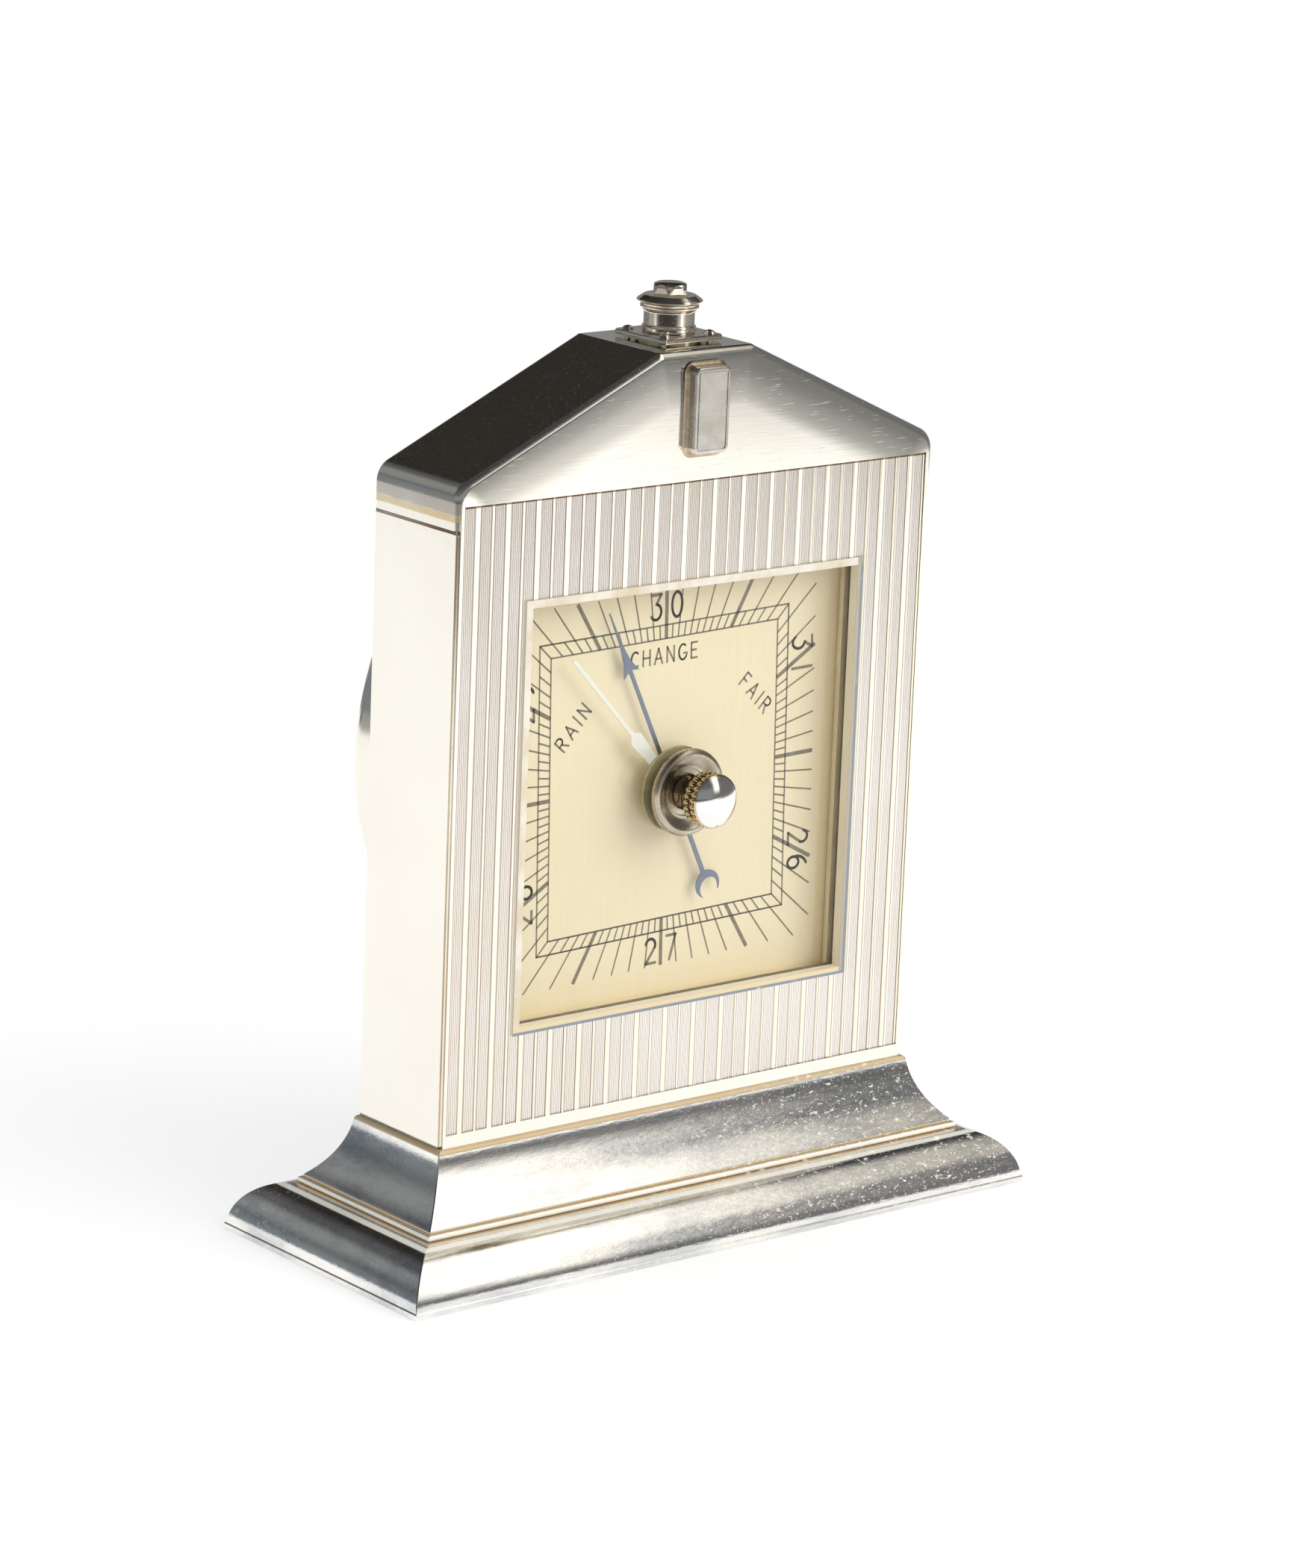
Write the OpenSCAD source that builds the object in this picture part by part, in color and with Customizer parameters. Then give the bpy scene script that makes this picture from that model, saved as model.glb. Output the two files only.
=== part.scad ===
// Desk barometer in the form of a pedimented radiator on a moulded base.
// Millimetres. X is to the right, the front faces -Y and +Z is up.
// The origin is the middle of the underside of the base.

/* [Case] */
// Width of the case across its sides
case_w = 70; // [68:0.5:80]
// Depth of the case from the front rails to the back
case_d = 15.6; // [15.6:0.1:18]
// Height of the case from the base to the lower edge of the pediment face
case_h = 74.9; // [74:0.1:84]
// Thickness of the sides, floor and back of the case
case_wall = 1.6; // [1.4:0.1:1.8]
// Width of the bright rail at each side of the grille
rail_w = 0.45; // [0.35:0.05:0.8]
// Height of the bright rail under the grille
rail_h = 1.5; // [1:0.1:2.5]
// Step between each side of the case and its front rail
corner_step = 0.35; // [0.2:0.05:0.5]
// Height of the tongue that the pediment slides over at each side
tongue_h = 3; // [2:0.1:4]

/* [Base] */
// Height of the base moulding
base_h = 15.1; // [14.8:0.1:17]
// Reach of the foot beyond the case on all sides
foot_reach = 11.5; // [11.2:0.1:14]
// Height of the square edge at the foot
foot_h = 0.75; // [0.5:0.05:1.2]
// Radius of the convex lower moulding
ovolo_r = 6.15; // [6:0.05:6.4]
// Reach of the centre of the convex lower moulding
ovolo_reach = 4.9; // [4.5:0.1:5]
// Height of the centre of the convex lower moulding
ovolo_z = 0.15; // [0.05:0.05:0.4]
// Radius of the bead between the two mouldings
bead_r = 0.4; // [0.25:0.05:0.5]
// Radius of the concave upper moulding
cove_r = 5.2; // [5:0.1:5.5]
// Reach of the centre of the concave upper moulding
cove_reach = 6.1; // [5.9:0.1:6.4]
// Height of the concave moulding's centre under the top of the base
cove_drop = 1.9; // [1.7:0.1:2.4]
// Reach of the foot of the concave moulding
cove_foot = 4.5; // [4.3:0.1:4.8]
// Radius of the rounded lip under the case
lip_r = 0.6; // [0.3:0.1:0.8]
// Thickness of the top of the base
deck_t = 1.6; // [1.2:0.1:2]
// Thickness of the wooden board in the underside
board_t = 2; // [1.5:0.1:2.2]
// Height of the board above the surface that the base stands on
board_lift = 0.4; // [0.2:0.1:0.8]
// Width of the rim round the board
board_rim = 1.8; // [1.5:0.1:2.5]

/* [Pediment] */
// Overhang of the pediment beyond each side of the case
cap_over = 0.3; // [0.15:0.05:0.6]
// Overhang of the pediment beyond the front rails and the back
cap_over_y = 0.25; // [0.1:0.05:0.5]
// Drop of the side skirts below the lower edge of the pediment face
skirt_drop = 2.7; // [1.5:0.1:2.8]
// Height of the ridge above the lower edge of the pediment face
roof_rise = 15.1; // [13:0.1:18]
// Height of the roof's eaves above the lower edge of the pediment face
eaves_rise = 2.1; // [1.5:0.1:3]
// Width of the flat ridge
ridge_w = 13.8; // [12:0.2:18]
// Radius of the rounded shoulders at the eaves
shoulder_r = 2.7; // [2:0.1:3]
// Radius of the soft edges of the pediment face
edge_r = 1; // [0.6:0.1:1.2]
// Thickness of the pediment's faces and roof
cap_wall = 1; // [0.8:0.05:1.05]

/* [Badge] */
// Width of the badge plate
badge_w = 5.2; // [4:0.1:7]
// Height of the badge plate
badge_h = 10.1; // [6:0.1:11]
// Thickness of the badge plate
badge_t = 1.45; // [0.8:0.05:2]
// Radius of the badge plate's corners
badge_r = 0.8; // [0.4:0.1:1.4]
// Width of the border outside the badge plate's engraved line
badge_border = 0.35; // [0.2:0.05:0.6]
// Width of the engraved lines on the badge plate
badge_line = 0.14; // [0.1:0.02:0.24]
// Depth of the engraved lines on the badge plate
badge_sink = 0.1; // [0.05:0.05:0.2]
// Height of the middle of the badge above the lower edge of the pediment face
badge_rise = 8.3; // [7.5:0.1:9]
// Offset of the badge to the left of the middle
badge_offset = 0.45; // [0:0.05:1]

/* [Filler] */
// Offset of the filler to the right of the middle
filler_offset = 0.35; // [0:0.05:1]
// Width of the square flange
flange_w = 9.2; // [8.5:0.1:11]
// Thickness of the square flange
flange_t = 0.65; // [0.5:0.05:1]
// Radius of the flange's corners
flange_r = 0.7; // [0.4:0.1:1.2]
// Width of the round pad under the flange
pad_d = 7.6; // [7:0.1:8.4]
// Thickness of the pad under the flange
pad_t = 0.2; // [0.1:0.05:0.5]
// Distance of each flange screw from the flange's sides
screw_inset = 1.25; // [1.1:0.05:1.4]
// Diameter of the flange screws' shanks
flange_screw_d = 0.7; // [0.5:0.05:0.9]
// Diameter of the filler neck
neck_d = 5.9; // [5:0.1:6.4]
// Height of the filler neck
neck_h = 2.5; // [1.8:0.1:3]
// Diameter of the collar at the foot of the neck
neck_collar_d = 6.3; // [6:0.1:6.8]
// Height of the collar at the foot of the neck
neck_collar_h = 0.7; // [0.4:0.1:1]
// Diameter of the filler cap's rim
filler_rim_d = 7.7; // [7.2:0.1:8.4]
// Diameter of the filler cap's lower band
filler_band_d = 6.8; // [6.4:0.1:7]
// Height of the filler cap without its hexagon
filler_cap_h = 1.8; // [1.6:0.1:2.6]
// Width across the corners of the hexagon on the filler cap
hex_d = 4.4; // [3.8:0.1:4.8]
// Height of the hexagon on the filler cap
hex_h = 1.5; // [1.1:0.1:1.8]
// Diameter of the stud that holds the filler together
filler_stud_d = 2; // [1.6:0.1:2.4]

/* [Grille] */
// Depth of the grille behind the rails
grille_recess = 0.16; // [0.1:0.02:0.3]
// Thickness of the grille panel
grille_t = 1; // [0.8:0.1:1.2]
// Number of wide bright strips
wide_count = 16; // [10:1:18]
// Width of each wide bright strip
wide_w = 0.77; // [0.5:0.01:1]
// Width of each narrow bright strip
narrow_w = 0.35; // [0.2:0.01:0.6]
// Number of fine grooves in each band between two strips
reed_count = 6; // [3:1:6]
// Depth of the fine grooves
reed_depth = 0.12; // [0.05:0.01:0.15]

/* [Window] */
// Clear width of the window
window_w = 48.4; // [44:0.2:50]
// Clear height of the window
window_h = 49.4; // [44:0.2:50]
// Height of the window's middle above the base
window_rise = 37.6; // [35:0.1:40]
// Thickness of the window frame's sleeve
sleeve_t = 0.6; // [0.4:0.05:0.8]
// Width of the window frame's lip over the grille
lip_w = 0.3; // [0.2:0.05:0.6]
// Height of the window frame's lip above the grille
lip_h = 0.29; // [0.2:0.01:0.5]
// Thickness of the glass
glass_t = 1.2; // [1:0.1:1.5]
// Margin of the glass beyond the window on each side
glass_margin = 1.8; // [1.4:0.1:2.4]

/* [Dial] */
// Depth of the dial behind the back of the glass
dial_depth = 2.64; // [2.5:0.02:3.2]
// Thickness of the dial plate
dial_t = 0.8; // [0.6:0.1:1]
// Height of the dial's centre above the middle of the window
dial_lift = 0.6; // [0:0.1:0.8]
// Thickness of the walls round the dial recess
recess_wall = 0.8; // [0.6:0.1:1]
// Thickness of the flange at the back of the recess walls
recess_flange_t = 0.8; // [0.6:0.1:1]
// Margin of the dial plate and the recess flange beyond the window on each side
dial_margin = 4.6; // [4.4:0.1:5]
// Diameter of the panel posts that carry the dial
post_d = 3; // [2.8:0.1:3.2]
// Diameter of the screws through the dial plate
dial_screw_d = 1.4; // [1.2:0.1:1.6]
// Diameter of the hole in the dial for the pointer arbor
dial_hole_d = 1.8; // [1.6:0.1:2.4]

/* [Hands] */
// Angle of the pointer from upright, clockwise seen from the front
pointer_angle = -25.3; // [-60:0.1:60]
// Length of the pointer from its axis to its tip
pointer_l = 23.4; // [20:0.1:24]
// Length of the pointer from its axis to the middle of the crescent
pointer_tail = 14.8; // [12:0.1:17]
// Thickness of the pointer
pointer_t = 0.2; // [0.15:0.05:0.3]
// Gap between the dial and the pointer
pointer_gap = 1.1; // [0.8:0.1:1.1]
// Width of the pointer's stem
stem_w = 0.5; // [0.4:0.05:0.7]
// Radius of the crescent at the pointer's tail
crescent_r = 1.75; // [1.4:0.05:2.2]
// Angle of the set hand from upright, clockwise seen from the front
set_angle = -42.6; // [-70:0.1:60]
// Length of the set hand from its axis to its tip
set_l = 23.2; // [20:0.1:23.6]
// Thickness of the set hand
set_t = 0.2; // [0.15:0.05:0.3]
// Width of the set hand's lozenge
set_lozenge_w = 1.9; // [1.6:0.1:2.8]

/* [Knob] */
// Diameter of the dished collar on the glass
dish_d = 10.5; // [9.8:0.1:11]
// Height of the dished collar
dish_h = 1.3; // [1.2:0.05:1.6]
// Diameter of the collar's sleeve through the glass
bush_d = 3.6; // [3.2:0.1:4]
// Diameter of the knob's spindle
spindle_d = 2; // [1.8:0.1:2.4]
// Diameter of the knob's two knurled rings
knob_d = 6.6; // [5.8:0.1:7]
// Thickness of each knurled ring
knob_ring_t = 1; // [0.6:0.05:1.2]
// Width of the groove between the knurled rings
knob_groove = 0.2; // [0.05:0.05:0.3]
// Length of the knob's tapered neck
knob_neck_h = 3.2; // [2.6:0.1:3.8]
// Height of the knob's dome
knob_dome_h = 1; // [0.6:0.1:2.4]
// Number of beads round each knurled ring
knurl_count = 26; // [20:1:28]
// Radius of each bead of the knurled rings
knurl_r = 0.38; // [0.3:0.01:0.4]
// Diameter of the nut behind the glass
bush_nut_d = 10.2; // [7:0.1:10.6]
// Thickness of the nut behind the glass
bush_nut_t = 0.4; // [0.3:0.05:0.6]

/* [Movement] */
// Radius of the movement plate
plate_r = 24.5; // [24:0.1:25]
// Thickness of the movement plate
plate_t = 1.5; // [1.2:0.1:1.6]
// Clear depth between the movement plate and the back cover
cover_gap = 3.1; // [2.4:0.1:3.1]
// Diameter of the pillars between the dial and the movement plate
pillar_d = 3; // [2.6:0.1:3.4]
// Distance of the pillars from the movement's centre
pillar_ring = 21.8; // [21.4:0.1:22]
// Radius of the vacuum capsule
capsule_r = 11.8; // [11.4:0.1:11.8]
// Thickness of the vacuum capsule without its bosses
capsule_t = 3.4; // [3:0.1:3.5]
// Number of corrugations in each face of the capsule
corrugations = 3; // [2:1:4]
// Height of each corrugation
corrugation_h = 0.35; // [0.2:0.05:0.4]
// Thickness of the main spring
spring_t = 0.6; // [0.5:0.05:0.7]
// Width of the main spring
spring_w = 8; // [6:0.5:10]
// Distance from the movement's centre to the axis of the main spring's bend
hinge_reach = 19.4; // [19.2:0.1:19.8]
// Thickness of the main lever
lever_t = 0.6; // [0.5:0.05:0.7]
// Width of the main lever at its root
lever_root_w = 5; // [4:0.1:6]
// Distance from the movement's centre to the rocking shaft
rocker_reach = 15; // [15:0.1:15.4]
// Depth of the rocking shaft in front of the movement plate
rocker_lift = 3.6; // [3.4:0.1:3.8]
// Diameter of the rocking shaft
rocker_d = 1.6; // [1.4:0.1:1.8]
// Length of the rocking shaft between its brackets
rocker_l = 15.8; // [15:0.2:17]
// Radius of the crank on the rocking shaft
crank_r = 1.8; // [1.7:0.05:1.9]
// Turn of the rocking shaft from the middle of its swing to the rest reading
rocker_rest = 11.8; // [8:0.1:14]
// Radius of the chain on the pulley
pulley_r = 1; // [0.8:0.05:1.1]
// Diameter of the pointer arbor
arbor_d = 0.9; // [0.8:0.05:1]
// Thickness of the two cocks that carry the arbor
cock_t = 0.6; // [0.5:0.05:0.7]
// Width of the two cocks
cock_w = 5; // [4:0.1:6]
// Clear space between the two cocks
cock_gap = 2; // [1.9:0.05:2.1]
// Distance of the cocks' screws from the movement's centre
cock_ring = 16; // [15.6:0.1:17]
// Number of turns of the hairspring
hairspring_turns = 5; // [3:1:7]

/* [Back] */
// Radius of the round back cover
drum_r = 33.8; // [32.4:0.1:33.8]
// Height of the back cover's centre above the base
drum_rise = 41.6; // [40:0.1:42]
// Depth of the back cover behind the case
drum_depth = 6.2; // [5:0.1:7]
// Thickness of the back cover
drum_wall = 0.8; // [0.6:0.1:1]
// Radius of the back cover's rounded edge
drum_edge = 2.4; // [1.5:0.1:3]
// Length of the spigot that holds the back cover in the case
spigot_h = 1.4; // [1:0.1:1.6]
// Diameter of the hole for the setting screw
setting_hole_d = 5; // [4:0.1:6]

/* [Fits] */
// Radial clearance of turning pivots
run_fit = 0.04; // [0.02:0.01:0.06]
// Radial clearance of fixed pins and sleeves
seat_fit = 0.04; // [0.02:0.01:0.06]
// Clearance beside pieces that slide together when they are put together
side_fit = 0.05; // [0.03:0.01:0.08]

/* [Hidden] */

$fn = 64;
small_fn = 32;
eps = 0.02;

// Places of the main faces
front_y = -case_d / 2;
back_y = case_d / 2;
grille_front = front_y + grille_recess;
grille_back = grille_front + grille_t;
face_z = base_h + case_h;
ridge_z = face_z + roof_rise;
skirt_z = face_z - skirt_drop;
inner_w = case_w - 2 * case_wall;
panel_w = case_w - 2 * corner_step - 2 * rail_w;
cap_back_gap = 0.9;
cap_back_z = face_z + cap_back_gap;

// Places through the depth, from the glass to the movement
window_z = base_h + window_rise;
glass_back = grille_back + glass_t;
dial_front = glass_back + dial_depth;
dial_back = dial_front + dial_t;
dial_z = window_z + dial_lift;
cock_front_front = dial_back + 0.35;
cock_front_back = cock_front_front + cock_t;
cock_rear_front = cock_front_back + cock_gap;
cock_rear_back = cock_rear_front + cock_t;
drum_z = base_h + drum_rise;
drum_back = back_y + drum_depth;
plate_back = drum_back - drum_wall - cover_gap;
plate_front = plate_back - plate_t;
movement_depth = plate_front - dial_back;

module plate_box(w, d, h, x = 0, y = 0, z = 0) {
    translate([x - w / 2, y - d / 2, z]) cube([w, d, h]);
}

// Turned work whose local +Z runs towards the front, seated at depth y
module to_front(x, y, z) {
    translate([x, y, z]) rotate([90, 0, 0]) children();
}

module mirrored_x() {
    children();
    mirror([1, 0, 0]) children();
}

function arc(cx, cy, r, a0, a1, steps) =
    [for (i = [0:steps]) let (a = a0 + (a1 - a0) * i / steps) [cx + r * cos(a), cy + r * sin(a)]];

// base
// Half of the base's outline, seen from one side, outside a case of half width `half`
module moulding_half(half) {
    bead_z = ovolo_z + ovolo_r + bead_r;
    cove_z = base_h - cove_drop;
    square([half + foot_reach, foot_h]);
    square([half + ovolo_reach, ovolo_z + ovolo_r]);
    intersection() {
        translate([half + ovolo_reach, ovolo_z]) circle(r = ovolo_r);
        square([half + foot_reach, base_h]);
    }
    translate([0, bead_z - bead_r]) square([half + cove_foot + bead_r, 2 * bead_r]);
    translate([half + cove_foot + bead_r, bead_z]) circle(r = bead_r, $fn = small_fn);
    difference() {
        square([half + cove_foot, cove_z]);
        translate([half + cove_reach, cove_z]) circle(r = cove_r);
    }
    square([half + cove_reach - cove_r, base_h - lip_r]);
    square([half + cove_reach - cove_r - lip_r, base_h]);
    translate([half + cove_reach - cove_r - lip_r, base_h - lip_r]) circle(r = lip_r, $fn = small_fn);
}

// The outline drawn through the whole base, along Y for the front view and along X for the side view
module moulding_run(half, length) {
    rotate([90, 0, 0]) translate([0, 0, -length / 2]) linear_extrude(length) {
        moulding_half(half);
        mirror([1, 0]) moulding_half(half);
    }
}

board_seat = board_lift + board_t;
board_reach = foot_reach - board_rim;
board_screw_reach = board_reach - 1.9;
board_screw_d = 1.6;
board_screw_head = 3;
board_screw_l = 3.6;
deck_z = base_h - deck_t;
case_screw_x = case_w / 2 - 12;
case_screw_d = 2;
case_screw_head = 3.8;
case_screw_head_h = 1.2;
case_screw_l = 5;
boss_d = 5;
boss_h = 3.6;

module at_board_screws() {
    for (sx = [-1, 1], sy = [-1, 1])
        translate([sx * (case_w / 2 + board_screw_reach), sy * (case_d / 2 + board_screw_reach), 0])
            children();
}

module at_case_screws() {
    for (sx = [-1, 1]) translate([sx * case_screw_x, 0, 0]) children();
}

module base_moulding() {
    long = case_w + 2 * foot_reach + 2;
    lower_reach = ovolo_reach - 0.4;
    lower_z = ovolo_z + ovolo_r - 1.6;
    color("slategray") difference() {
        intersection() {
            moulding_run(case_w / 2, long);
            rotate([0, 0, 90]) moulding_run(case_d / 2, long);
        }
        // Seat of the board, and the hollow above it in two steps
        plate_box(case_w + 2 * board_reach, case_d + 2 * board_reach, board_seat + eps, z = -eps);
        plate_box(case_w + 2 * lower_reach, case_d + 2 * lower_reach, lower_z, z = 0);
        plate_box(case_w - 2 * deck_t, case_d - 2 * deck_t, deck_z, z = 0);
        at_case_screws() cylinder(d = case_screw_d + 2 * seat_fit, h = base_h + 1);
        at_board_screws() cylinder(d = board_screw_d + 2 * seat_fit, h = board_lift + board_screw_l + 0.2);
    }
}

module base_board() {
    color("saddlebrown") difference() {
        plate_box(case_w + 2 * board_reach - 2 * side_fit, case_d + 2 * board_reach - 2 * side_fit,
            board_t, z = board_lift);
        at_board_screws() {
            cylinder(d = board_screw_d + 2 * seat_fit, h = board_seat + 1);
            translate([0, 0, board_lift - eps])
                cylinder(d1 = board_screw_head + 2 * seat_fit + 2 * eps,
                    d2 = board_screw_d + 2 * seat_fit,
                    h = (board_screw_head - board_screw_d) / 2 + eps);
        }
    }
}

module board_screws() {
    color("gold") at_board_screws() translate([0, 0, board_lift]) {
        difference() {
            cylinder(d1 = board_screw_head, d2 = board_screw_d, h = (board_screw_head - board_screw_d) / 2);
            translate([-board_screw_head / 2, -0.2, -eps]) cube([board_screw_head, 0.4, 0.3]);
        }
        translate([0, 0, 0.4]) cylinder(d = board_screw_d, h = board_screw_l - 0.4);
    }
}

module case_screws() {
    color("gold") at_case_screws() {
        translate([0, 0, deck_z - case_screw_head_h]) difference() {
            cylinder(d = case_screw_head, h = case_screw_head_h);
            translate([-case_screw_head / 2, -0.25, -eps]) cube([case_screw_head, 0.5, 0.5]);
        }
        translate([0, 0, deck_z]) cylinder(d = case_screw_d, h = case_screw_l);
    }
}

// case
opening_r = drum_r - 1.1;

module case_shell() {
    inner_h = cap_back_z - base_h - case_wall;
    color("silver") difference() {
        union() {
            plate_box(case_w, back_y - grille_back, skirt_z - base_h,
                y = (back_y + grille_back) / 2, z = base_h);
            // Tongue inside the pediment's skirts, and the back up to the pediment's back
            plate_box(case_w - 2 * tongue_in, back_y - grille_back, cap_back_z - base_h,
                y = (back_y + grille_back) / 2, z = base_h);
            // Thin side edges that run forward beside the rails
            mirrored_x() translate([case_w / 2 - corner_step, front_y + corner_step + 0.1, base_h])
                cube([corner_step, grille_back - front_y - corner_step, skirt_z - base_h]);
        }
        translate([-inner_w / 2, grille_back - 1, base_h + case_wall])
            cube([inner_w, back_y - case_wall - grille_back + 1, inner_h + 1]);
        // The top corners stay open above the tongue
        translate([-case_w / 2 - 1, grille_back - 1, face_z - skirt_drop + tongue_h])
            cube([case_w + 2, back_y - case_wall - grille_back + 1, cap_back_z]);
        to_front(0, back_y + 1, drum_z) cylinder(r = opening_r, h = case_wall + 2);
        at_case_screws() translate([0, 0, base_h - 1]) cylinder(d = case_screw_d + 2 * seat_fit, h = 3.6);
    }
    color("silver") at_case_screws() translate([0, 0, base_h + case_wall]) difference() {
        cylinder(d = boss_d, h = boss_h - case_wall);
        translate([0, 0, -eps]) cylinder(d = case_screw_d + 2 * seat_fit, h = boss_h);
    }
}
tongue_in = cap_wall + 0.1 - cap_over + side_fit;

module front_rails() {
    depth = grille_back - front_y;
    color("whitesmoke") {
        mirrored_x() translate([panel_w / 2, front_y, base_h]) cube([rail_w, depth, face_z - base_h]);
        translate([-panel_w / 2, front_y, base_h]) cube([panel_w, depth, rail_h]);
    }
}

// grille
band_w = (panel_w - 2 * side_fit - wide_count * wide_w - (wide_count - 1) * narrow_w) / (2 * wide_count);
reed_pitch = band_w / reed_count;
reed_w = 0.6 * reed_pitch;
strip_pitch = wide_w + narrow_w + 2 * band_w;

// Left edge of each band of fine grooves, from the left end of the panel
function band_start(i) = floor(i / 2) * strip_pitch + (i % 2) * (band_w + wide_w);

// Outline of the panel seen from above, with every groove of every band cut into its front edge
grille_outline = concat(
    [[0, -grille_t], [0, 0]],
    [for (i = [0:2 * wide_count - 1], k = [0:reed_count - 1])
        let (x0 = band_start(i) + (k + 0.5) * reed_pitch)
        each [[x0 - reed_w / 2, 0], [x0, -reed_depth], [x0 + reed_w / 2, 0]]],
    [[panel_w - 2 * side_fit, 0], [panel_w - 2 * side_fit, -grille_t]]);

window_cut_w = window_w + 2 * sleeve_t + 2 * side_fit;
window_cut_h = window_h + 2 * sleeve_t + 2 * side_fit;

module grille_panel() {
    color("lightgray") difference() {
        translate([-panel_w / 2 + side_fit, grille_front, base_h + rail_h])
            mirror([0, 1, 0]) linear_extrude(face_z - base_h - rail_h) polygon(grille_outline);
        plate_box(window_cut_w, 4 * grille_t, window_cut_h,
            y = grille_front, z = window_z - window_cut_h / 2);
    }
}

post_x = window_w / 2 + dial_margin - post_d / 2 + 0.2;
post_z = window_h / 2 + dial_margin - post_d / 2 + 0.2;
flange_front = dial_front - recess_flange_t;

module at_posts() {
    for (sx = [-1, 1], sz = [-1, 1]) to_front(sx * post_x, 0, window_z + sz * post_z) children();
}

module panel_posts() {
    color("goldenrod") at_posts() difference() {
        translate([0, 0, -flange_front]) cylinder(d = post_d, h = flange_front - grille_back, $fn = small_fn);
        translate([0, 0, -flange_front - eps])
            cylinder(d = dial_screw_d + 2 * seat_fit, h = 1.9, $fn = small_fn);
    }
}

// window and dial
module ring_box(w, h, wall, y0, y1, z) {
    translate([0, y0, z]) difference() {
        translate([-w / 2 - wall, 0, -h / 2 - wall]) cube([w + 2 * wall, y1 - y0, h + 2 * wall]);
        translate([-w / 2, -1, -h / 2]) cube([w, y1 - y0 + 2, h]);
    }
}

module window_frame() {
    color("whitesmoke") {
        ring_box(window_w, window_h, sleeve_t, grille_front - lip_h, grille_back, window_z);
        ring_box(window_w, window_h, sleeve_t + lip_w, grille_front - lip_h, grille_front, window_z);
    }
}

bush_hole_d = bush_d + 2 * seat_fit;

module window_glass() {
    color("lightcyan", 0.3) difference() {
        plate_box(window_w + 2 * glass_margin, glass_t, window_h + 2 * glass_margin,
            y = grille_back + glass_t / 2, z = window_z - window_h / 2 - glass_margin);
        to_front(0, glass_back + 1, window_z) cylinder(d = bush_hole_d, h = glass_t + 2);
    }
}

module dial_recess() {
    flange_w_all = window_w + 2 * dial_margin;
    flange_h_all = window_h + 2 * dial_margin;
    color("burlywood") difference() {
        union() {
            ring_box(window_w, window_h, recess_wall, glass_back, dial_front, window_z);
            ring_box(window_w, window_h, dial_margin, flange_front, dial_front, window_z);
        }
        at_posts() translate([0, 0, -dial_front - 1])
            cylinder(d = dial_screw_d + 2 * seat_fit, h = recess_flange_t + 2, $fn = small_fn);
    }
}

module dial_plate() {
    color("wheat") difference() {
        plate_box(window_w + 2 * dial_margin, dial_t, window_h + 2 * dial_margin,
            y = dial_front + dial_t / 2, z = window_z - window_h / 2 - dial_margin);
        to_front(0, dial_back + 1, dial_z) cylinder(d = dial_hole_d, h = dial_t + 2, $fn = small_fn);
        at_posts() translate([0, 0, -dial_back - 1])
            cylinder(d = dial_screw_d + 2 * seat_fit, h = dial_t + 2, $fn = small_fn);
    }
}

module dial_screws() {
    head_h = 0.7;
    shank = dial_t + recess_flange_t + 1.6;
    color("goldenrod") at_posts() translate([0, 0, -dial_back]) {
        cylinder(d = dial_screw_d, h = shank, $fn = small_fn);
        translate([0, 0, -head_h]) difference() {
            cylinder(d = 2.4, h = head_h, $fn = small_fn);
            translate([-1.3, -0.18, -eps]) cube([2.6, 0.36, 0.3]);
        }
    }
}

// pediment
cap_half = case_w / 2 + cap_over;
cap_front = front_y - cap_over_y;
cap_back = back_y + cap_over_y;
eaves_z = face_z + eaves_rise;
roof_angle = atan2(ridge_z - eaves_z, cap_half - ridge_w / 2);

// Half of the roof's outline, moved in by `inset`, from the skirt up to the ridge
function roof_half(inset, r, foot_z) =
    let (half = cap_half - inset,
        top = ridge_z - inset,
        drop = inset * (1 / cos(roof_angle) - tan(roof_angle)),
        corner_z = eaves_z - drop + 0,
        back_off = r * tan((90 - roof_angle) / 2),
        cx = half - r,
        cz = corner_z - back_off,
        ridge_x = half - (top - corner_z) / tan(roof_angle))
    concat([[half, foot_z]], arc(cx, cz, r, 0, 90 - roof_angle, 10), [[ridge_x, top]]);

module roof_outline(inset, r, foot_z) {
    half_points = roof_half(inset, r, foot_z);
    count = len(half_points);
    polygon(concat(half_points,
        [for (i = [1:count]) [-half_points[count - i][0], half_points[count - i][1]]]));
}

// A thin slice of the pediment at depth y, moved in for the soft edge
module roof_slice(y, inset) {
    translate([0, y + 0.005, 0]) rotate([90, 0, 0]) linear_extrude(0.01)
        roof_outline(inset, shoulder_r - inset * 0.9, skirt_z);
}

flange_screw_at = flange_w / 2 - screw_inset;

module at_flange_screws() {
    for (sx = [-1, 1], sy = [-1, 1])
        translate([filler_offset + sx * flange_screw_at, sy * flange_screw_at, 0]) children();
}

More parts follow.
